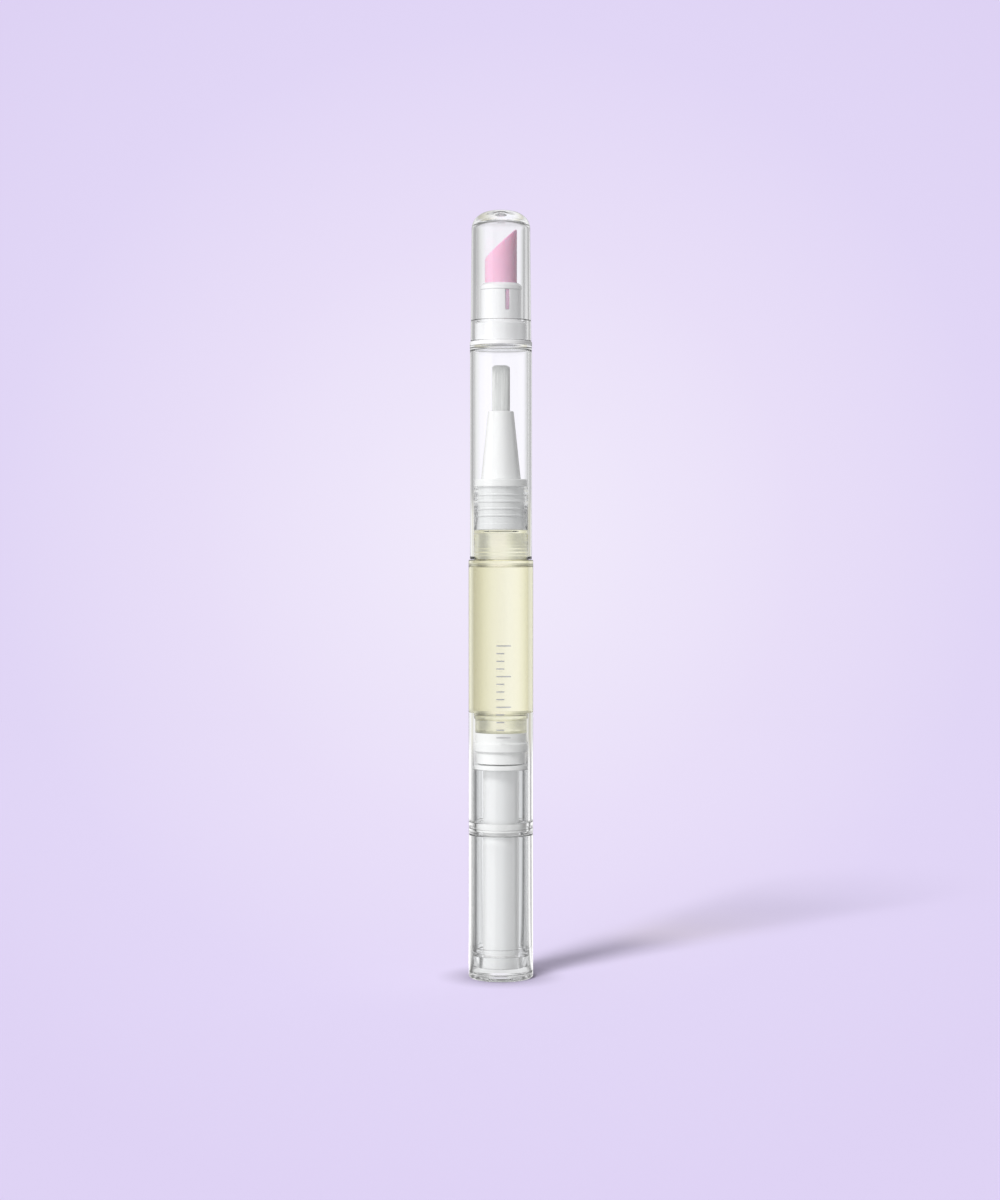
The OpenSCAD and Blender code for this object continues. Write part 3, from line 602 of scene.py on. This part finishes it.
wet = 0.03  # how far the oil reaches into the wall
film = 0.02  # between the oil and the faces that it only touches
cup_round = 0.38
oilway_r = 2.2
plug_z, cone_z = span("neck_plug")
feed_z = span("feed_tube")[0]

neck_oil = turned("neck_oil_pale", [
    (0, bore_top_z - wet),
    (bore_r + wet, bore_top_z - wet),
    (bore_r + wet, bore_top_z),
    (neck_bore_r + wet, throat_z, 0.2),
    (neck_bore_r + wet, plug_z - film, 0.05),
    (oilway_r - film, plug_z - film),
    (oilway_r - film, feed_z - film),
    (0, feed_z - film)])
dress(neck_oil, oil_look)
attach(neck_oil, "barrel")
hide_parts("neck_oil")

column_z = piston_top_z + film
column = turned("oil_column_pale", [
    (0, column_z),
    (bore_r + wet, column_z),
    (bore_r + wet, bore_top_z),
    (0, bore_top_z)])
dress(column, oil_look)
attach(column, "barrel")
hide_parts("oil")
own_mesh(column)

cup_oil = turned("cup_oil_pale", [
    (0, cup_floor_z - film),
    (cup_r - film, cup_floor_z - film, cup_round),
    (cup_r + wet, cup_floor_z + cup_round),
    (cup_r + wet, lip_z),
    (cup_r + ramp + wet, column_z + film / 2),
    (0, column_z + film / 2)])
dress(cup_oil, oil_look)
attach(cup_oil, "piston")
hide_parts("cup_oil")

# Neck plug
# Milky plug pressed in the neck: a wide foot, sealing ribs and a flange on the neck's end, with
# an oil way through it and a socket for the nozzle cone's spigot.

plug_r, plug_body_r, flange_r = 4.38, 4.23, 4.68
foot_h, rib_count, rib_height, rib_rise, rib_points = 1.1, 4, 0.45, 0.15, 6
lead_in, lead_in_h = 0.1, 0.15  # slope at the plug's foot
spigot_socket_r, spigot_len = 2.62, 2.0
rib_step = (neck_top_z - plug_z - foot_h - rib_height) / (rib_count + 1)
ribs = []
for rib in range(1, rib_count + 1):
    rib_foot = plug_z + foot_h + rib * rib_step
    ribs.append((plug_body_r, rib_foot))
    for a in (math.pi * i / rib_points for i in range(1, rib_points)):
        ribs.append((plug_body_r + rib_rise * math.sin(a), rib_foot + rib_height * (1 - math.cos(a)) / 2))
    ribs.append((plug_body_r, rib_foot + rib_height))

neck_plug = turned("neck_plug_milky", [
    (oilway_r, plug_z, 0.1),
    (plug_r - lead_in, plug_z, 0.05),
    (plug_r, plug_z + lead_in_h, 0.05),
    (plug_r, plug_z + foot_h, 0.05),
    (plug_body_r, plug_z + foot_h),
    *ribs,
    (plug_body_r, neck_top_z),
    (flange_r, neck_top_z, 0.06),
    (flange_r, cone_z, 0.12),
    (spigot_socket_r, cone_z, 0.05),
    (spigot_socket_r, cone_z - spigot_len),
    (oilway_r, cone_z - spigot_len)])
dress(neck_plug, milky)
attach(neck_plug, "barrel")
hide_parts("neck_plug")

# Nozzle cone, feed tube and collar
# White cone pressed in the neck plug. A thin feed tube brings the oil up through it to the heart
# of the brush, and a thin collar clamps the brush's root.

cone_top_z = span("nozzle_cone")[1]
cone_foot_r, cone_tip_r, spigot_r = 3.55, 2.275, 2.6
feed_way_r = 0.47
pocket_wall_r, root_z = 1.98, 98.4

nozzle_cone = turned("nozzle_cone_white", [
    (feed_way_r, cone_z - spigot_len),
    (spigot_r, cone_z - spigot_len, 0.1),
    (spigot_r, cone_z),
    (cone_foot_r, cone_z, 0.08),
    (cone_tip_r, cone_top_z, 0.18),
    (pocket_wall_r, cone_top_z, 0.06),
    (pocket_wall_r, root_z),
    (feed_way_r, root_z)])
dress(nozzle_cone, white)
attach(nozzle_cone, "barrel")
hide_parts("nozzle_cone")
dress(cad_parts["feed_tube"], white)
dress(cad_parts["tuft_collar"], white)

# Brush
# A round tuft of fine nylon filaments fused to a root disc. Each filament tapers to its tip, the
# outer ones are a little shorter, and the oil holds them together.

nylon = shaded("bristle_nylon", (0.80, 0.81, 0.80), {
    "IOR": 1.53, "Subsurface Weight": 0.08, "Subsurface Scale": 0.0004, "Subsurface Radius": (1, 1, 1)})
tinted(nylon, 3800, (0.96, 0.97, 0.96), (0.66, 0.67, 0.66), (1, 1, 0.02))
roughened(nylon, 1800, 0.25, 0.45)
lets_lamps_in(nylon, (0.84, 0.84, 0.84))

brush_top_z = span("bristles")[1]
brush_r, heart_r = 1.68, 0.53  # the outermost filaments and the innermost
filament_r, filament_gap, filament_sides = 0.075, 0.112, 5
filament_z = root_z + 0.3
taper = ((0.0, 1.0), (0.45, 1.0), (0.85, 0.8), (0.97, 0.5), (1.0, 0.12))  # (share of length, width)
row_share = 0.9  # rows stand closer than filaments in a row
crown_drop, crown_bend = 0.55, 6  # how much shorter the outermost are, and how suddenly
length_spread, lean = 0.12, 0.03
root_disc_r, root_disc_h, root_disc_steps = 1.7, 0.5, 48
chance = random.Random(20)

build = bmesh.new()


def filament(x, y, top_z):
    """One upright filament from the root disc to its tapered tip."""
    lean_x, lean_y = chance.uniform(-lean, lean), chance.uniform(-lean, lean)
    skin(build, [circle(build, filament_r * width, filament_z + (top_z - filament_z) * share,
                        filament_sides, x + lean_x * share ** 2, y + lean_y * share ** 2)
                 for share, width in taper], capped=True)


row, reach = 0, heart_r
while reach <= brush_r - filament_r + 1e-6:
    count = int(2 * math.pi * reach / filament_gap)
    for i in range(count):
        a = 2 * math.pi * (i + 0.5 * (row % 2)) / count
        crown_z = brush_top_z - crown_drop * (reach / brush_r) ** crown_bend
        filament(reach * math.cos(a), reach * math.sin(a), crown_z - chance.uniform(0, length_spread))
    row += 1
    reach += filament_gap * row_share
root_disc = ((feed_way_r, root_z), (root_disc_r, root_z),
             (root_disc_r, root_z + root_disc_h), (feed_way_r, root_z + root_disc_h))
skin(build, [circle(build, r, z, root_disc_steps) for r, z in root_disc], looped=True)
brush = finished("brush_filaments", build, 60)
dress(brush, nylon)
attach(brush, "barrel")
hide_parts("bristles")

# Brush cap
# Long clear cap that snaps over the neck's beads. It is closed at the top, where a spigot
# carries the pusher's holder.

cap_r = radius("brush_cap")
cap_z, spigot_top_z = span("brush_cap")
cap_bore_r, cap_spigot_r = 4.95, 2.5
cap_inside_z, cap_end_z = 111.9, 112.6
flare, flare_h = 0.15, 0.5

brush_cap = turned("brush_cap_clear", [
    (cap_bore_r + flare, cap_z, 0.05),
    (cap_r, cap_z, shell_edge),
    (cap_r, cap_end_z, 0.1),
    (cap_spigot_r, cap_end_z, 0.08),
    (cap_spigot_r, spigot_top_z, 0.1),
    (0, spigot_top_z),
    (0, cap_inside_z),
    (cap_bore_r, cap_inside_z, 0.35),
    (cap_bore_r, cap_z + flare_h, 0.2)])
dress(brush_cap, polished)
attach(brush_cap, "brush_cap")
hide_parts("brush_cap")

# Pusher holder
# Pearl-white holder pressed on the cap's spigot: flange, foot, a satin sleeve with one narrow
# slot that shows the tip's root, a fine groove, and a rounded collar round the tip.

holder_z, holder_top_z = span("pusher_holder")
holder_flange_r, holder_flange_top_z = 5.53, holder_z + 0.7
foot_r, foot_top_z = 4.63, holder_z + 3.8
sleeve_r, sleeve_foot_z = 3.65, holder_z + 4.3
collar_z, collar_rise, collar_side_h = holder_top_z - 1.2, 0.08, 0.75
fine_groove = 0.08  # height and depth of the groove under the collar
rim_w, rim_drop = 0.25, 0.05  # the collar's rim round the tip
holder_bore_r, spigot_hole_r = 2.87, 2.52
spigot_air = 0.1  # between the cap's spigot and the end of its hole
tip_root_z, tip_top_z = span("pusher_tip")
slot_w, slot_len, slot_round = 0.75, 3.6, 0.12
slot_mid_z = collar_z - fine_groove - slot_len / 2
slot_turn = math.radians(18)  # from the front towards +X
slot_in_r, slot_out_r = holder_bore_r - 0.3, sleeve_r + 1  # how deep the cutter reaches

pearl = opaque_plastic("pearl_plastic", (0.93, 0.93, 0.94), (0.90, 0.90, 0.915), (0.2, 0.26),
                       grain=0.0015, Metallic=0.12, IOR=1.55, Coat_Weight=0.35, Coat_Roughness=0.12)

holder = turned("pusher_holder_pearl", [
    (spigot_hole_r, holder_z),
    (holder_flange_r, holder_z, 0.1),
    (holder_flange_r, holder_flange_top_z, 0.14),
    (foot_r, holder_flange_top_z, 0.04),
    (foot_r, foot_top_z, 0.25),
    (sleeve_r, sleeve_foot_z, 0.3),
    (sleeve_r, collar_z - fine_groove, 0.03),
    (sleeve_r - fine_groove, collar_z - fine_groove),
    (sleeve_r - fine_groove, collar_z),
    (sleeve_r + collar_rise, collar_z, 0.08),
    (sleeve_r + collar_rise / 2, collar_z + collar_side_h, 0.5),
    (holder_bore_r + rim_w, holder_top_z, 0.3),
    (holder_bore_r, holder_top_z - rim_drop, 0.05),
    (holder_bore_r, tip_root_z),
    (0, tip_root_z),
    (0, spigot_top_z + spigot_air),
    (spigot_hole_r, spigot_top_z + spigot_air)])


def on_slot_line(r, across):
    """A place at radius r on the line of the slot, that far across it."""
    return (r * math.sin(slot_turn) + across * math.cos(slot_turn),
            -r * math.cos(slot_turn) + across * math.sin(slot_turn))


build = bmesh.new()
bmesh.ops.create_cube(build, size=1.0)
for v in build.verts:
    r = (slot_in_r + slot_out_r) / 2 + v.co.y * (slot_out_r - slot_in_r)
    v.co = Vector((*on_slot_line(r, v.co.x * slot_w), slot_mid_z + v.co.z * slot_len)) * MM
bmesh.ops.bevel(build, geom=build.edges[:], offset=slot_round * MM, segments=3, affect="EDGES",
                clamp_overlap=True)
cutter = finished("slot_cutter", build)
for solid in (holder, cutter):
    solid.data.transform(Matrix.Scale(1 / MM, 4))  # the cut is exact at a larger scale only
cut = holder.modifiers.new("slot", "BOOLEAN")
cut.object = cutter
cut.operation = "DIFFERENCE"
cut.solver = "EXACT"
cut.use_self = True
whole = bpy.data.meshes.new_from_object(holder.evaluated_get(bpy.context.evaluated_depsgraph_get()))
whole.transform(Matrix.Scale(MM, 4))
holder.modifiers.clear()
holder.data = whole
bpy.data.objects.remove(cutter)
dress(holder, pearl)
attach(holder, "brush_cap")
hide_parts("pusher_holder")

# Pusher tip
# Soft pink silicone bar cut off at a slant, with a blunt edge at its high side. Its root sits deep in the
# holder, a small rib on it fills the slot, and a row of small pips stands above, coloured a paler pink as
# a painted highlight.

pink = shaded("pink_silicone", (0.86, 0.50, 0.67), {
    "IOR": 1.5, "Specular IOR Level": 0.8, "Subsurface Weight": 0.5, "Subsurface Scale": 0.0012,
    "Subsurface Radius": (1.0, 0.45, 0.6)})
tinted(pink, 650, (0.94, 0.58, 0.75), (0.91, 0.52, 0.70))
roughened(pink, 2400, 0.3, 0.42)
bumped(pink, 4200, 0.008)

tip_r = radius("pusher_tip")
heel_z, edge_w = tip_top_z - 5.2, 0.3
slope = (tip_top_z - heel_z) / (2 * tip_r - edge_w)
tip_steps = 96
wall_levels = (0, 0.1, 0.3, 0.5, 0.7, 0.85, 0.94)
wall_drop = 0.3  # where the wall ends, below the slant
face_levels = ((0.997, 0.2), (0.985, 0.1), (0.965, 0.035), (0.93, 0.0),
               (0.75, 0.0), (0.5, 0.0), (0.25, 0.0))  # (share of radius, drop below the slant)


def slant(x):
    """Height of the slanted face above a point across the tip."""
    return min(tip_top_z, heel_z + (x + tip_r) * slope)


def tip_ring(width, height_at):
    """A ring of points round the tip at that share of its radius. Its height goes with x."""
    places = [(tip_r * width * math.cos(a), tip_r * width * math.sin(a)) for a in turns(tip_steps)]
    return [point(build, x, y, height_at(x)) for x, y in places]


build = bmesh.new()
rings = [[point(build, 0, 0, tip_root_z)]]
for level in wall_levels:
    rings.append(tip_ring(1.0, lambda x: tip_root_z
                          + (slant(x) - wall_drop - tip_root_z) * level / wall_levels[-1]))
for width, drop in face_levels:
    rings.append(tip_ring(width, lambda x: slant(x) - drop))
rings.append([point(build, 0, 0, slant(0))])
skin(build, rings)
tip = finished("pusher_tip_pink", build, 60)
dress(tip, pink)
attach(tip, "brush_cap")
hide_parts("pusher_tip")

rib_clear = 0.03  # between the tip's rib and the slot in the holder
rib_half, rib_half_len = slot_w / 2 - rib_clear, slot_len / 2 - rib_clear
rib_face_r = sleeve_r - 0.1
rib_levels = ((tip_r - 0.15, 0), (rib_face_r - 0.06, 0), (rib_face_r - 0.02, 0.025), (rib_face_r, 0.07))
pip_size, pip_pitch, pip_sides = 0.05, 0.42, 10
pip_levels = ((tip_r - 0.04, 1.0), (tip_r, 1.0), (tip_r + 0.025, 0.75), (tip_r + 0.035, 0.35))


def slot_ring(r, points):
    """A ring of points at radius r on the line of the slot, from (across, height)."""
    return [point(build, *on_slot_line(r, across), z) for across, z in points]


build = bmesh.new()
rings = []
for r, pull in rib_levels:  # the rib's edges are pulled in towards its face
    half, half_len = rib_half - pull, rib_half_len - pull
    rings.append(slot_ring(r, [(half * x, slot_mid_z + half_len * z)
                               for x, z in ((-1, -1), (1, -1), (1, 1), (-1, 1))]))
skin(build, rings, capped=True)
slot_rib = finished("tip_rib_pink", build, 50)

build = bmesh.new()
pip_z, pip_top_z = holder_top_z + 0.3, slant(on_slot_line(tip_r, 0)[0]) - 0.5
while pip_z < pip_top_z:
    skin(build, [slot_ring(r, [(pip_size * width * math.cos(a), pip_z + pip_size * width * math.sin(a))
                               for a in turns(pip_sides)]) for r, width in pip_levels], capped=True)
    pip_z += pip_pitch
tip_pips = finished("tip_pips_pink", build, 60)

# Paler copy of the pink silicone for the pips: a painted highlight, the glints on them.
pips_highlight_pink = shaded("pink_silicone_pips_highlit", (0.97, 0.78, 0.88), {"IOR": 1.5})
tinted(pips_highlight_pink, 2400, (0.98, 0.80, 0.90), (0.95, 0.74, 0.85))
roughened(pips_highlight_pink, 2400, 0.3, 0.42)
for piece, look in ((slot_rib, pink), (tip_pips, pips_highlight_pink)):
    dress(piece, look)
    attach(piece, "brush_cap")

# Pusher cap
# Clear dome cap with a thick wall, which snaps over the holder's foot. The mould leaves a small
# dimple with a frosted face in the middle of its top, and the dome is slightly satin inside.

dome_cap_z, dome_cap_top_z = span("pusher_cap")
mouth_r, mouth_bore_r, mouth_top_z, mouth_step = 5.4, 4.68, 117.0, 0.1
dome_r, dome_bore_r = 5.2, 4.4
dome_h, dome_inside_h = 3.4, 1.8
dome_z = dome_cap_top_z - dome_h
dome_inside_z = dome_z + dome_inside_h
dome_from, dome_sweep, dome_points = 3, 84, 45  # degrees of its outline that are drawn
dome_wide, dome_full = 0.8, 0.9  # below 1 makes the dome squarer than an ellipse
satin_from_z, satin_slope = dome_z + 0.3, -0.2  # the faces inside the dome, which look down
dimple_r, dimple_depth, dimple_rim, dimple_round = 0.75, 0.3, 0.1, 0.25
dimple_floor_z = dome_cap_top_z - dimple_depth
frosted_r = 0.795  # the frosted face ends on the dimple's rounded rim


def dome(r, z, height):
    """Points on a dome's outline, from its foot up."""
    angles = [math.radians(dome_from + dome_sweep * i / (dome_points - 1)) for i in range(dome_points)]
    return [(r * math.cos(a) ** dome_wide, z + height * math.sin(a) ** dome_full) for a in angles]


dome_cap = turned("pusher_cap_clear", [
    (mouth_bore_r, dome_cap_z, 0.05),
    (mouth_r, dome_cap_z, shell_edge),
    (dome_r, dome_z),
    *[p for p in dome(dome_r, dome_z, dome_h) if p[0] > dimple_r + dimple_round],
    (dimple_r + dimple_rim, dome_cap_top_z, 0.08),
    (dimple_r, dome_cap_top_z - dimple_depth * 0.6, 0.08),
    (dimple_r / 2, dimple_floor_z, 0.1),
    (0, dimple_floor_z),
    (0, dome_inside_z),
    *reversed(dome(dome_bore_r, dome_z, dome_inside_h)),
    (dome_bore_r, dome_z),
    (dome_bore_r, mouth_top_z + mouth_step, 0.05),
    (mouth_bore_r, mouth_top_z, 0.05)], sharp_deg=50)
gate_mark = hazy_plastic("clear_plastic_gate_mark", (0.62, 0.62, 0.64), (0.4, 0.6), 0.01, 0.7,
                         (2600, 6000))
satin = hazy_plastic("clear_plastic_satin", (0.99, 0.99, 0.995), (0.04, 0.08), 0.002, 0.88)
dress(dome_cap, polished, gate_mark, satin)
dress_faces(dome_cap, 2, lambda face, corners: face.normal.z < satin_slope
            and min(c.z for c in corners) > satin_from_z)
dress_faces(dome_cap, 1, lambda face, corners: min(c.z for c in corners) > dimple_floor_z - HAIR
            and max(math.hypot(*c.xy) for c in corners) < frosted_r)
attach(dome_cap, "pusher_cap")
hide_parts("pusher_cap")

# Table and backdrop
# A wide lilac table that runs to the horizon, and the same lilac beyond it, palest behind the
# pen. Clear plastic meets a ring of light and dark bands instead, which draws its edges: one
# ring for the knob, one for the oil and one for the caps.

ambient = 0.5
key_strength, key_from = 2.16, Vector((-0.424, -0.549, 0.719))
side_strength, side_from = 1.38, Vector((-0.55, -0.83, 0.12))
back_strength = 0.4  # more soft light from behind, so that the pen's far side isn't dull
back_share = 0.14  # how much of it reaches the table
back_from, back_to = 0.3, 0.8  # how far it reaches round, from the side to straight behind
lamps_down = key_strength * key_from.normalized().z + side_strength * side_from.normalized().z
open_share = 0.89  # of all light that reaches the table round the pen
table_light = open_share * (ambient + back_share * back_strength + lamps_down / math.pi)
ambient_left, ambient_right = 1.2, 0.68  # shares of the soft light from each side
bounce_left, bounce_right = 0.6, 0.38  # light that the table sends up to the pen
glow_point, glow_reach = (0, -0.405, 0.079), 0.045
glow_colours = (
    (0.00, (240, 233, 251)), (0.05, (237, 229, 250)), (0.19, (232, 222, 248)),
    (0.52, (225, 214, 246)), (1.00, (222, 210, 244)))
painted_shadow_near, painted_shadow_far, painted_shadow_dim = 0.0055, 0.0125, 0.74  # painted shadow: a soft dark ring on the table round the pen's foot
foot_shade_near, foot_shade_far, foot_shade_dim = 0.006, 0.02, 0.7  # painted shadow under the pen, as the clear foot shows it
fade_near, fade_far = 0.22, 0.6  # where the lit table fades into the backdrop's lilac
oil_near, oil_far = 0.36, 0.5  # where the view through the knob turns to the oil's
far_gloss = 0.3  # how much of the gloss is left there
# rings of light: (degrees to the right of straight behind the pen, level)
studio_round = (
    (-180, 1.1), (-90, 1.05), (-76, 0.25), (-60, 0.12), (-53, 0.12), (-49, 0.35), (-38, 0.45),
    (-34, 0.35), (-30, 0.8), (-22, 0.75), (-14, 0.65), (-12, 1.05), (9, 1.05), (11, 0.5), (15, 0.75),
    (18, 0.7), (22, 0.03), (29, 0.03), (34, 0.25), (38, 0.8), (44, 1.0), (51, 0.8), (57, 0.35),
    (80, 0.3), (90, 1.05), (107, 1.1), (112, 0.6), (155, 0.6), (163, 1.1))
gloss_round = ((-72, 0.7), (-62, 2.2), (-24, 2.2), (-14, 0.7), (14, 0.7), (24, 2.0), (62, 2.0), (72, 0.7))
cap_round = (
    (-180, 1.0), (-150, 1.1), (-75, 1.05), (-60, 0.7), (-50, 0.5), (-36, 0.42), (-28, 0.45),
    (-21, 0.52), (-15, 0.7), (-10, 0.9), (-5, (1.01, 0.985, 1.045)), (9, (1.01, 0.985, 1.045)),
    (14, 0.8), (19, 0.5), (24, 0.4), (32, 0.45), (38, 0.8), (52, 0.8), (70, 0.6), (80, 1.05),
    (100, 1.05), (112, 0.6), (155, 0.6), (168, 1.0))
oil_round = (
    (-180, 0.95), (-60, 0.95), (-46, 0.8), (-44, (0.72, 0.70, 0.60)), (-40, (0.78, 0.76, 0.66)),
    (-30, (0.95, 0.94, 0.88)), (-23, (1.02, 1.01, 1.02)), (-11, (1.02, 1.02, 1.09)),
    (-6, (1.0, 1.0, 1.07)), (2.5, (0.97, 0.965, 1.0)), (12, (0.9, 0.89, 0.86)),
    (17.5, (0.83, 0.82, 0.75)), (24, (0.75, 0.735, 0.64)), (31, (0.65, 0.63, 0.53)),
    (44, (0.52, 0.5, 0.41)), (50, 0.7), (60, 0.95))


def linear(level):
    """A colour level from 0 to 255 as light."""
    v = level / 255
    return v / 12.92 if v <= 0.04045 else ((v + 0.055) / 1.055) ** 2.4


class Sums:
    """Short ways to put light together in a material or world. Glows is the node that gives it."""

    def __init__(self, made, glows):
        self.made, self.glows = made, glows

    def op(self, kind, a, b=None):
        return wired(self.made, "ShaderNodeMath", {0: a, 1: b}, operation=kind)[0]

    def vector(self, kind, a, b=None, scale=None):
        return wired(self.made, "ShaderNodeVectorMath", {0: a, 1: b, "Scale": scale}, operation=kind)

    def parts(self, vector):
        return wired(self.made, "ShaderNodeSeparateXYZ", {0: vector})

    def ranged(self, value, low, high, to_low, to_high):
        return wired(self.made, "ShaderNodeMapRange", {
            "Value": value, "From Min": low, "From Max": high, "To Min": to_low, "To Max": to_high},
            interpolation_type="SMOOTHSTEP")["Result"]

    def ramped(self, value, stops):
        node = self.made.node_tree.nodes.new("ShaderNodeValToRGB")
        self.made.node_tree.links.new(value, node.inputs["Fac"])
        while len(node.color_ramp.elements) < len(stops):
            node.color_ramp.elements.new(0.5)
        for element, (place, colour) in zip(node.color_ramp.elements, stops):
            element.position = place
            element.color = (*colour, 1)
        return node.outputs["Color"]

    def mixed(self, share, a, b):
        inputs = {"Factor": share, "A": a, "B": b}
        return wired(self.made, "ShaderNodeMix", inputs, data_type="RGBA")["Result"]

    def light(self, colour, strength):
        return wired(self.made, self.glows, {"Color": colour, "Strength": strength})[0]

    def either(self, share, a, b):
        return wired(self.made, "ShaderNodeMixShader", {"Fac": share, 1: a, 2: b})[0]

    def for_rays(self, which, seen, otherwise):
        """Shader that rays of one kind see, and another for all the rest."""
        return self.either(wired(self.made, "ShaderNodeLightPath", {})[which], otherwise, seen)

    def ring(self, vector, stops, lobes=1):
        """Light round the pen in the direction of vector. Stops are degrees to the right of
        straight behind and a level, and the pattern comes back lobes times round the pen."""
        x, y = self.parts(vector)[:2]
        turn = self.op("MULTIPLY", self.op("ARCTAN2", y, x), -lobes / (2 * math.pi))
        return self.ramped(self.op("FRACT", self.op("ADD", turn, 0.5 + lobes / 4)), [
            (0.5 + lobes * degrees / 360, level if isinstance(level, tuple) else (level,) * 3)
            for degrees, level in stops])

    def lilac(self, direction, dim=1):
        """The lilac of the backdrop along a direction, palest along +Y."""
        y = self.parts(direction)[1]
        return self.ramped(self.op("DIVIDE", self.op("SUBTRACT", 1, y), glow_reach), [
            (place, [linear(level) / dim for level in levels]) for place, levels in glow_colours])

    def sides(self, side, left, right, away, behind):
        """Strength that goes from left to right, and rises behind the pen."""
        return self.op("ADD", self.ranged(side, -1, 1, left, right),
                       self.ranged(away, back_from, back_to, 0, behind))


table_look = bpy.data.materials.new("lilac_table")
table_look.use_nodes = True
table_look.cycles.emission_sampling = "NONE"
table_look.node_tree.nodes.clear()
sums = Sums(table_look, "ShaderNodeEmission")
where = wired(table_look, "ShaderNodeNewGeometry", {})["Position"]
along = sums.vector("NORMALIZE", sums.vector("SUBTRACT", where, glow_point)[0])[0]
distance = sums.vector("LENGTH", where)["Value"]
# Painted shadow: the table's colour darkens in a soft ring round the pen's foot.
painted_shadow = sums.ranged(distance, painted_shadow_near, painted_shadow_far, painted_shadow_dim, 1)
matt = wired(table_look, "ShaderNodeBsdfDiffuse", {
    "Color": sums.vector("SCALE", sums.lilac(along, table_light), scale=painted_shadow)[0]})[0]
fade = sums.ranged(distance, fade_near, fade_far, 0, 1)
shown = sums.either(fade, matt, sums.light(sums.lilac(along), 1))
side, away = (sums.op("DIVIDE", part, distance) for part in sums.parts(where)[:2])
bounce = sums.sides(side, bounce_left, bounce_right, away, back_strength / 2)
shown = sums.for_rays("Is Diffuse Ray", sums.light(None, bounce), shown)
gloss = sums.op("MULTIPLY", sums.ring(where, gloss_round, 2),
                sums.ranged(distance, oil_near, oil_far, 1, far_gloss))
shown = sums.for_rays("Is Glossy Ray", sums.light(None, gloss), shown)
rings = sums.mixed(sums.ranged(distance, oil_near, oil_far, 0, 1),
                   sums.ring(where, studio_round), sums.ring(where, oil_round))
# Painted shadow: what clear plastic shows of the table darkens close to the pen's foot.
foot_shade = sums.ranged(distance, foot_shade_near, foot_shade_far, foot_shade_dim, 1)
shown = sums.for_rays("Is Transmission Ray", sums.light(rings, foot_shade), shown)
wired(table_look, "ShaderNodeOutputMaterial", {"Surface": shown})

table_reach, table_drop = 14.0, 0.00002
build = bmesh.new()
bmesh.ops.create_circle(build, cap_ends=True, radius=table_reach, segments=96)
table = finished("table", build)
table.location.z = -table_drop
dress(table, table_look)

horizon, above_horizon = 0.005, 0.02  # where the oil's view turns to the caps'
level_from, level_to, level_dim = 0.09, 0.115, 0.93  # the view through the dome cap's wall
high_from, high_to, high_dim = 0.3, 0.7, 0.62  # the view up through its dome
sheen_round = ((-150, 0.6), (-146, 1.8), (-118, 1.8), (-112, 0.6), (90, 0.4), (150, 0.5))

world = bpy.data.worlds.new("lilac_studio")
bpy.context.scene.world = world
world.use_nodes = True
world.cycles.sampling_method = "NONE"
world.node_tree.nodes.clear()
sums = Sums(world, "ShaderNodeBackground")
direction = wired(world, "ShaderNodeTexCoord", {})["Generated"]
side, away, height = sums.parts(direction)
fill = sums.sides(side, ambient * ambient_left, ambient * ambient_right, away, back_strength)
sheen = sums.ring(direction, sheen_round)
shown = sums.for_rays("Is Glossy Ray", sums.light(sheen, 1), sums.light(None, fill))
rings = sums.mixed(sums.ranged(height, horizon, above_horizon, 0, 1),
                   sums.ring(direction, oil_round), sums.ring(direction, cap_round))
dimmed = sums.op("MULTIPLY", sums.ranged(height, high_from, high_to, 1, high_dim),
                 sums.ranged(height, level_from, level_to, 1, level_dim))
shown = sums.for_rays("Is Transmission Ray", sums.light(rings, dimmed), shown)
shown = sums.for_rays("Is Camera Ray", sums.light(sums.lilac(direction), 1), shown)
wired(world, "ShaderNodeOutputWorld", {"Surface": shown})

# Lamps
# A soft key lamp from the front left, high up, which casts the pen's shadow back to the right,
# and a weaker low lamp from the left that models the round pieces inside.


def lamp(name, strength, comes_from, wide_deg):
    """A distant soft lamp. It lights the pieces, and clear plastic mirrors the studio instead."""
    light = bpy.data.lights.new(name, "SUN")
    light.energy = strength
    light.angle = math.radians(wide_deg)
    made = bpy.data.objects.new(name, light)
    made.rotation_euler = comes_from.to_track_quat("Z", "Y").to_euler()
    made.visible_glossy = False
    made.visible_transmission = False
    bpy.context.scene.collection.objects.link(made)


key_wide, side_wide = 15, 40  # degrees across, which set how soft the shadows are
lamp("key_lamp", key_strength, key_from, key_wide)
lamp("side_lamp", side_strength, side_from, side_wide)

# Camera
# The camera stands 0.4 m in front, a little above the pen's middle, and looks very slightly
# down, so that the pen stands as tall and as straight as in the photograph.

eye = (-0.00016, -0.4055, 0.0794)
tilt_deg = 1.69

camera_data = bpy.data.cameras.new("camera")
camera_data.lens, camera_data.sensor_width = 68.25, 36
camera = bpy.data.objects.new("camera", camera_data)
camera.location = eye
camera.rotation_euler = (math.radians(90 - tilt_deg), 0, 0)
bpy.context.scene.collection.objects.link(camera)
bpy.context.scene.camera = camera

scene = bpy.context.scene
scene.view_settings.view_transform = "Standard"
scene.cycles.max_bounces = 32
scene.cycles.transmission_bounces = 32
scene.cycles.glossy_bounces = 12
scene.cycles.transparent_max_bounces = 48
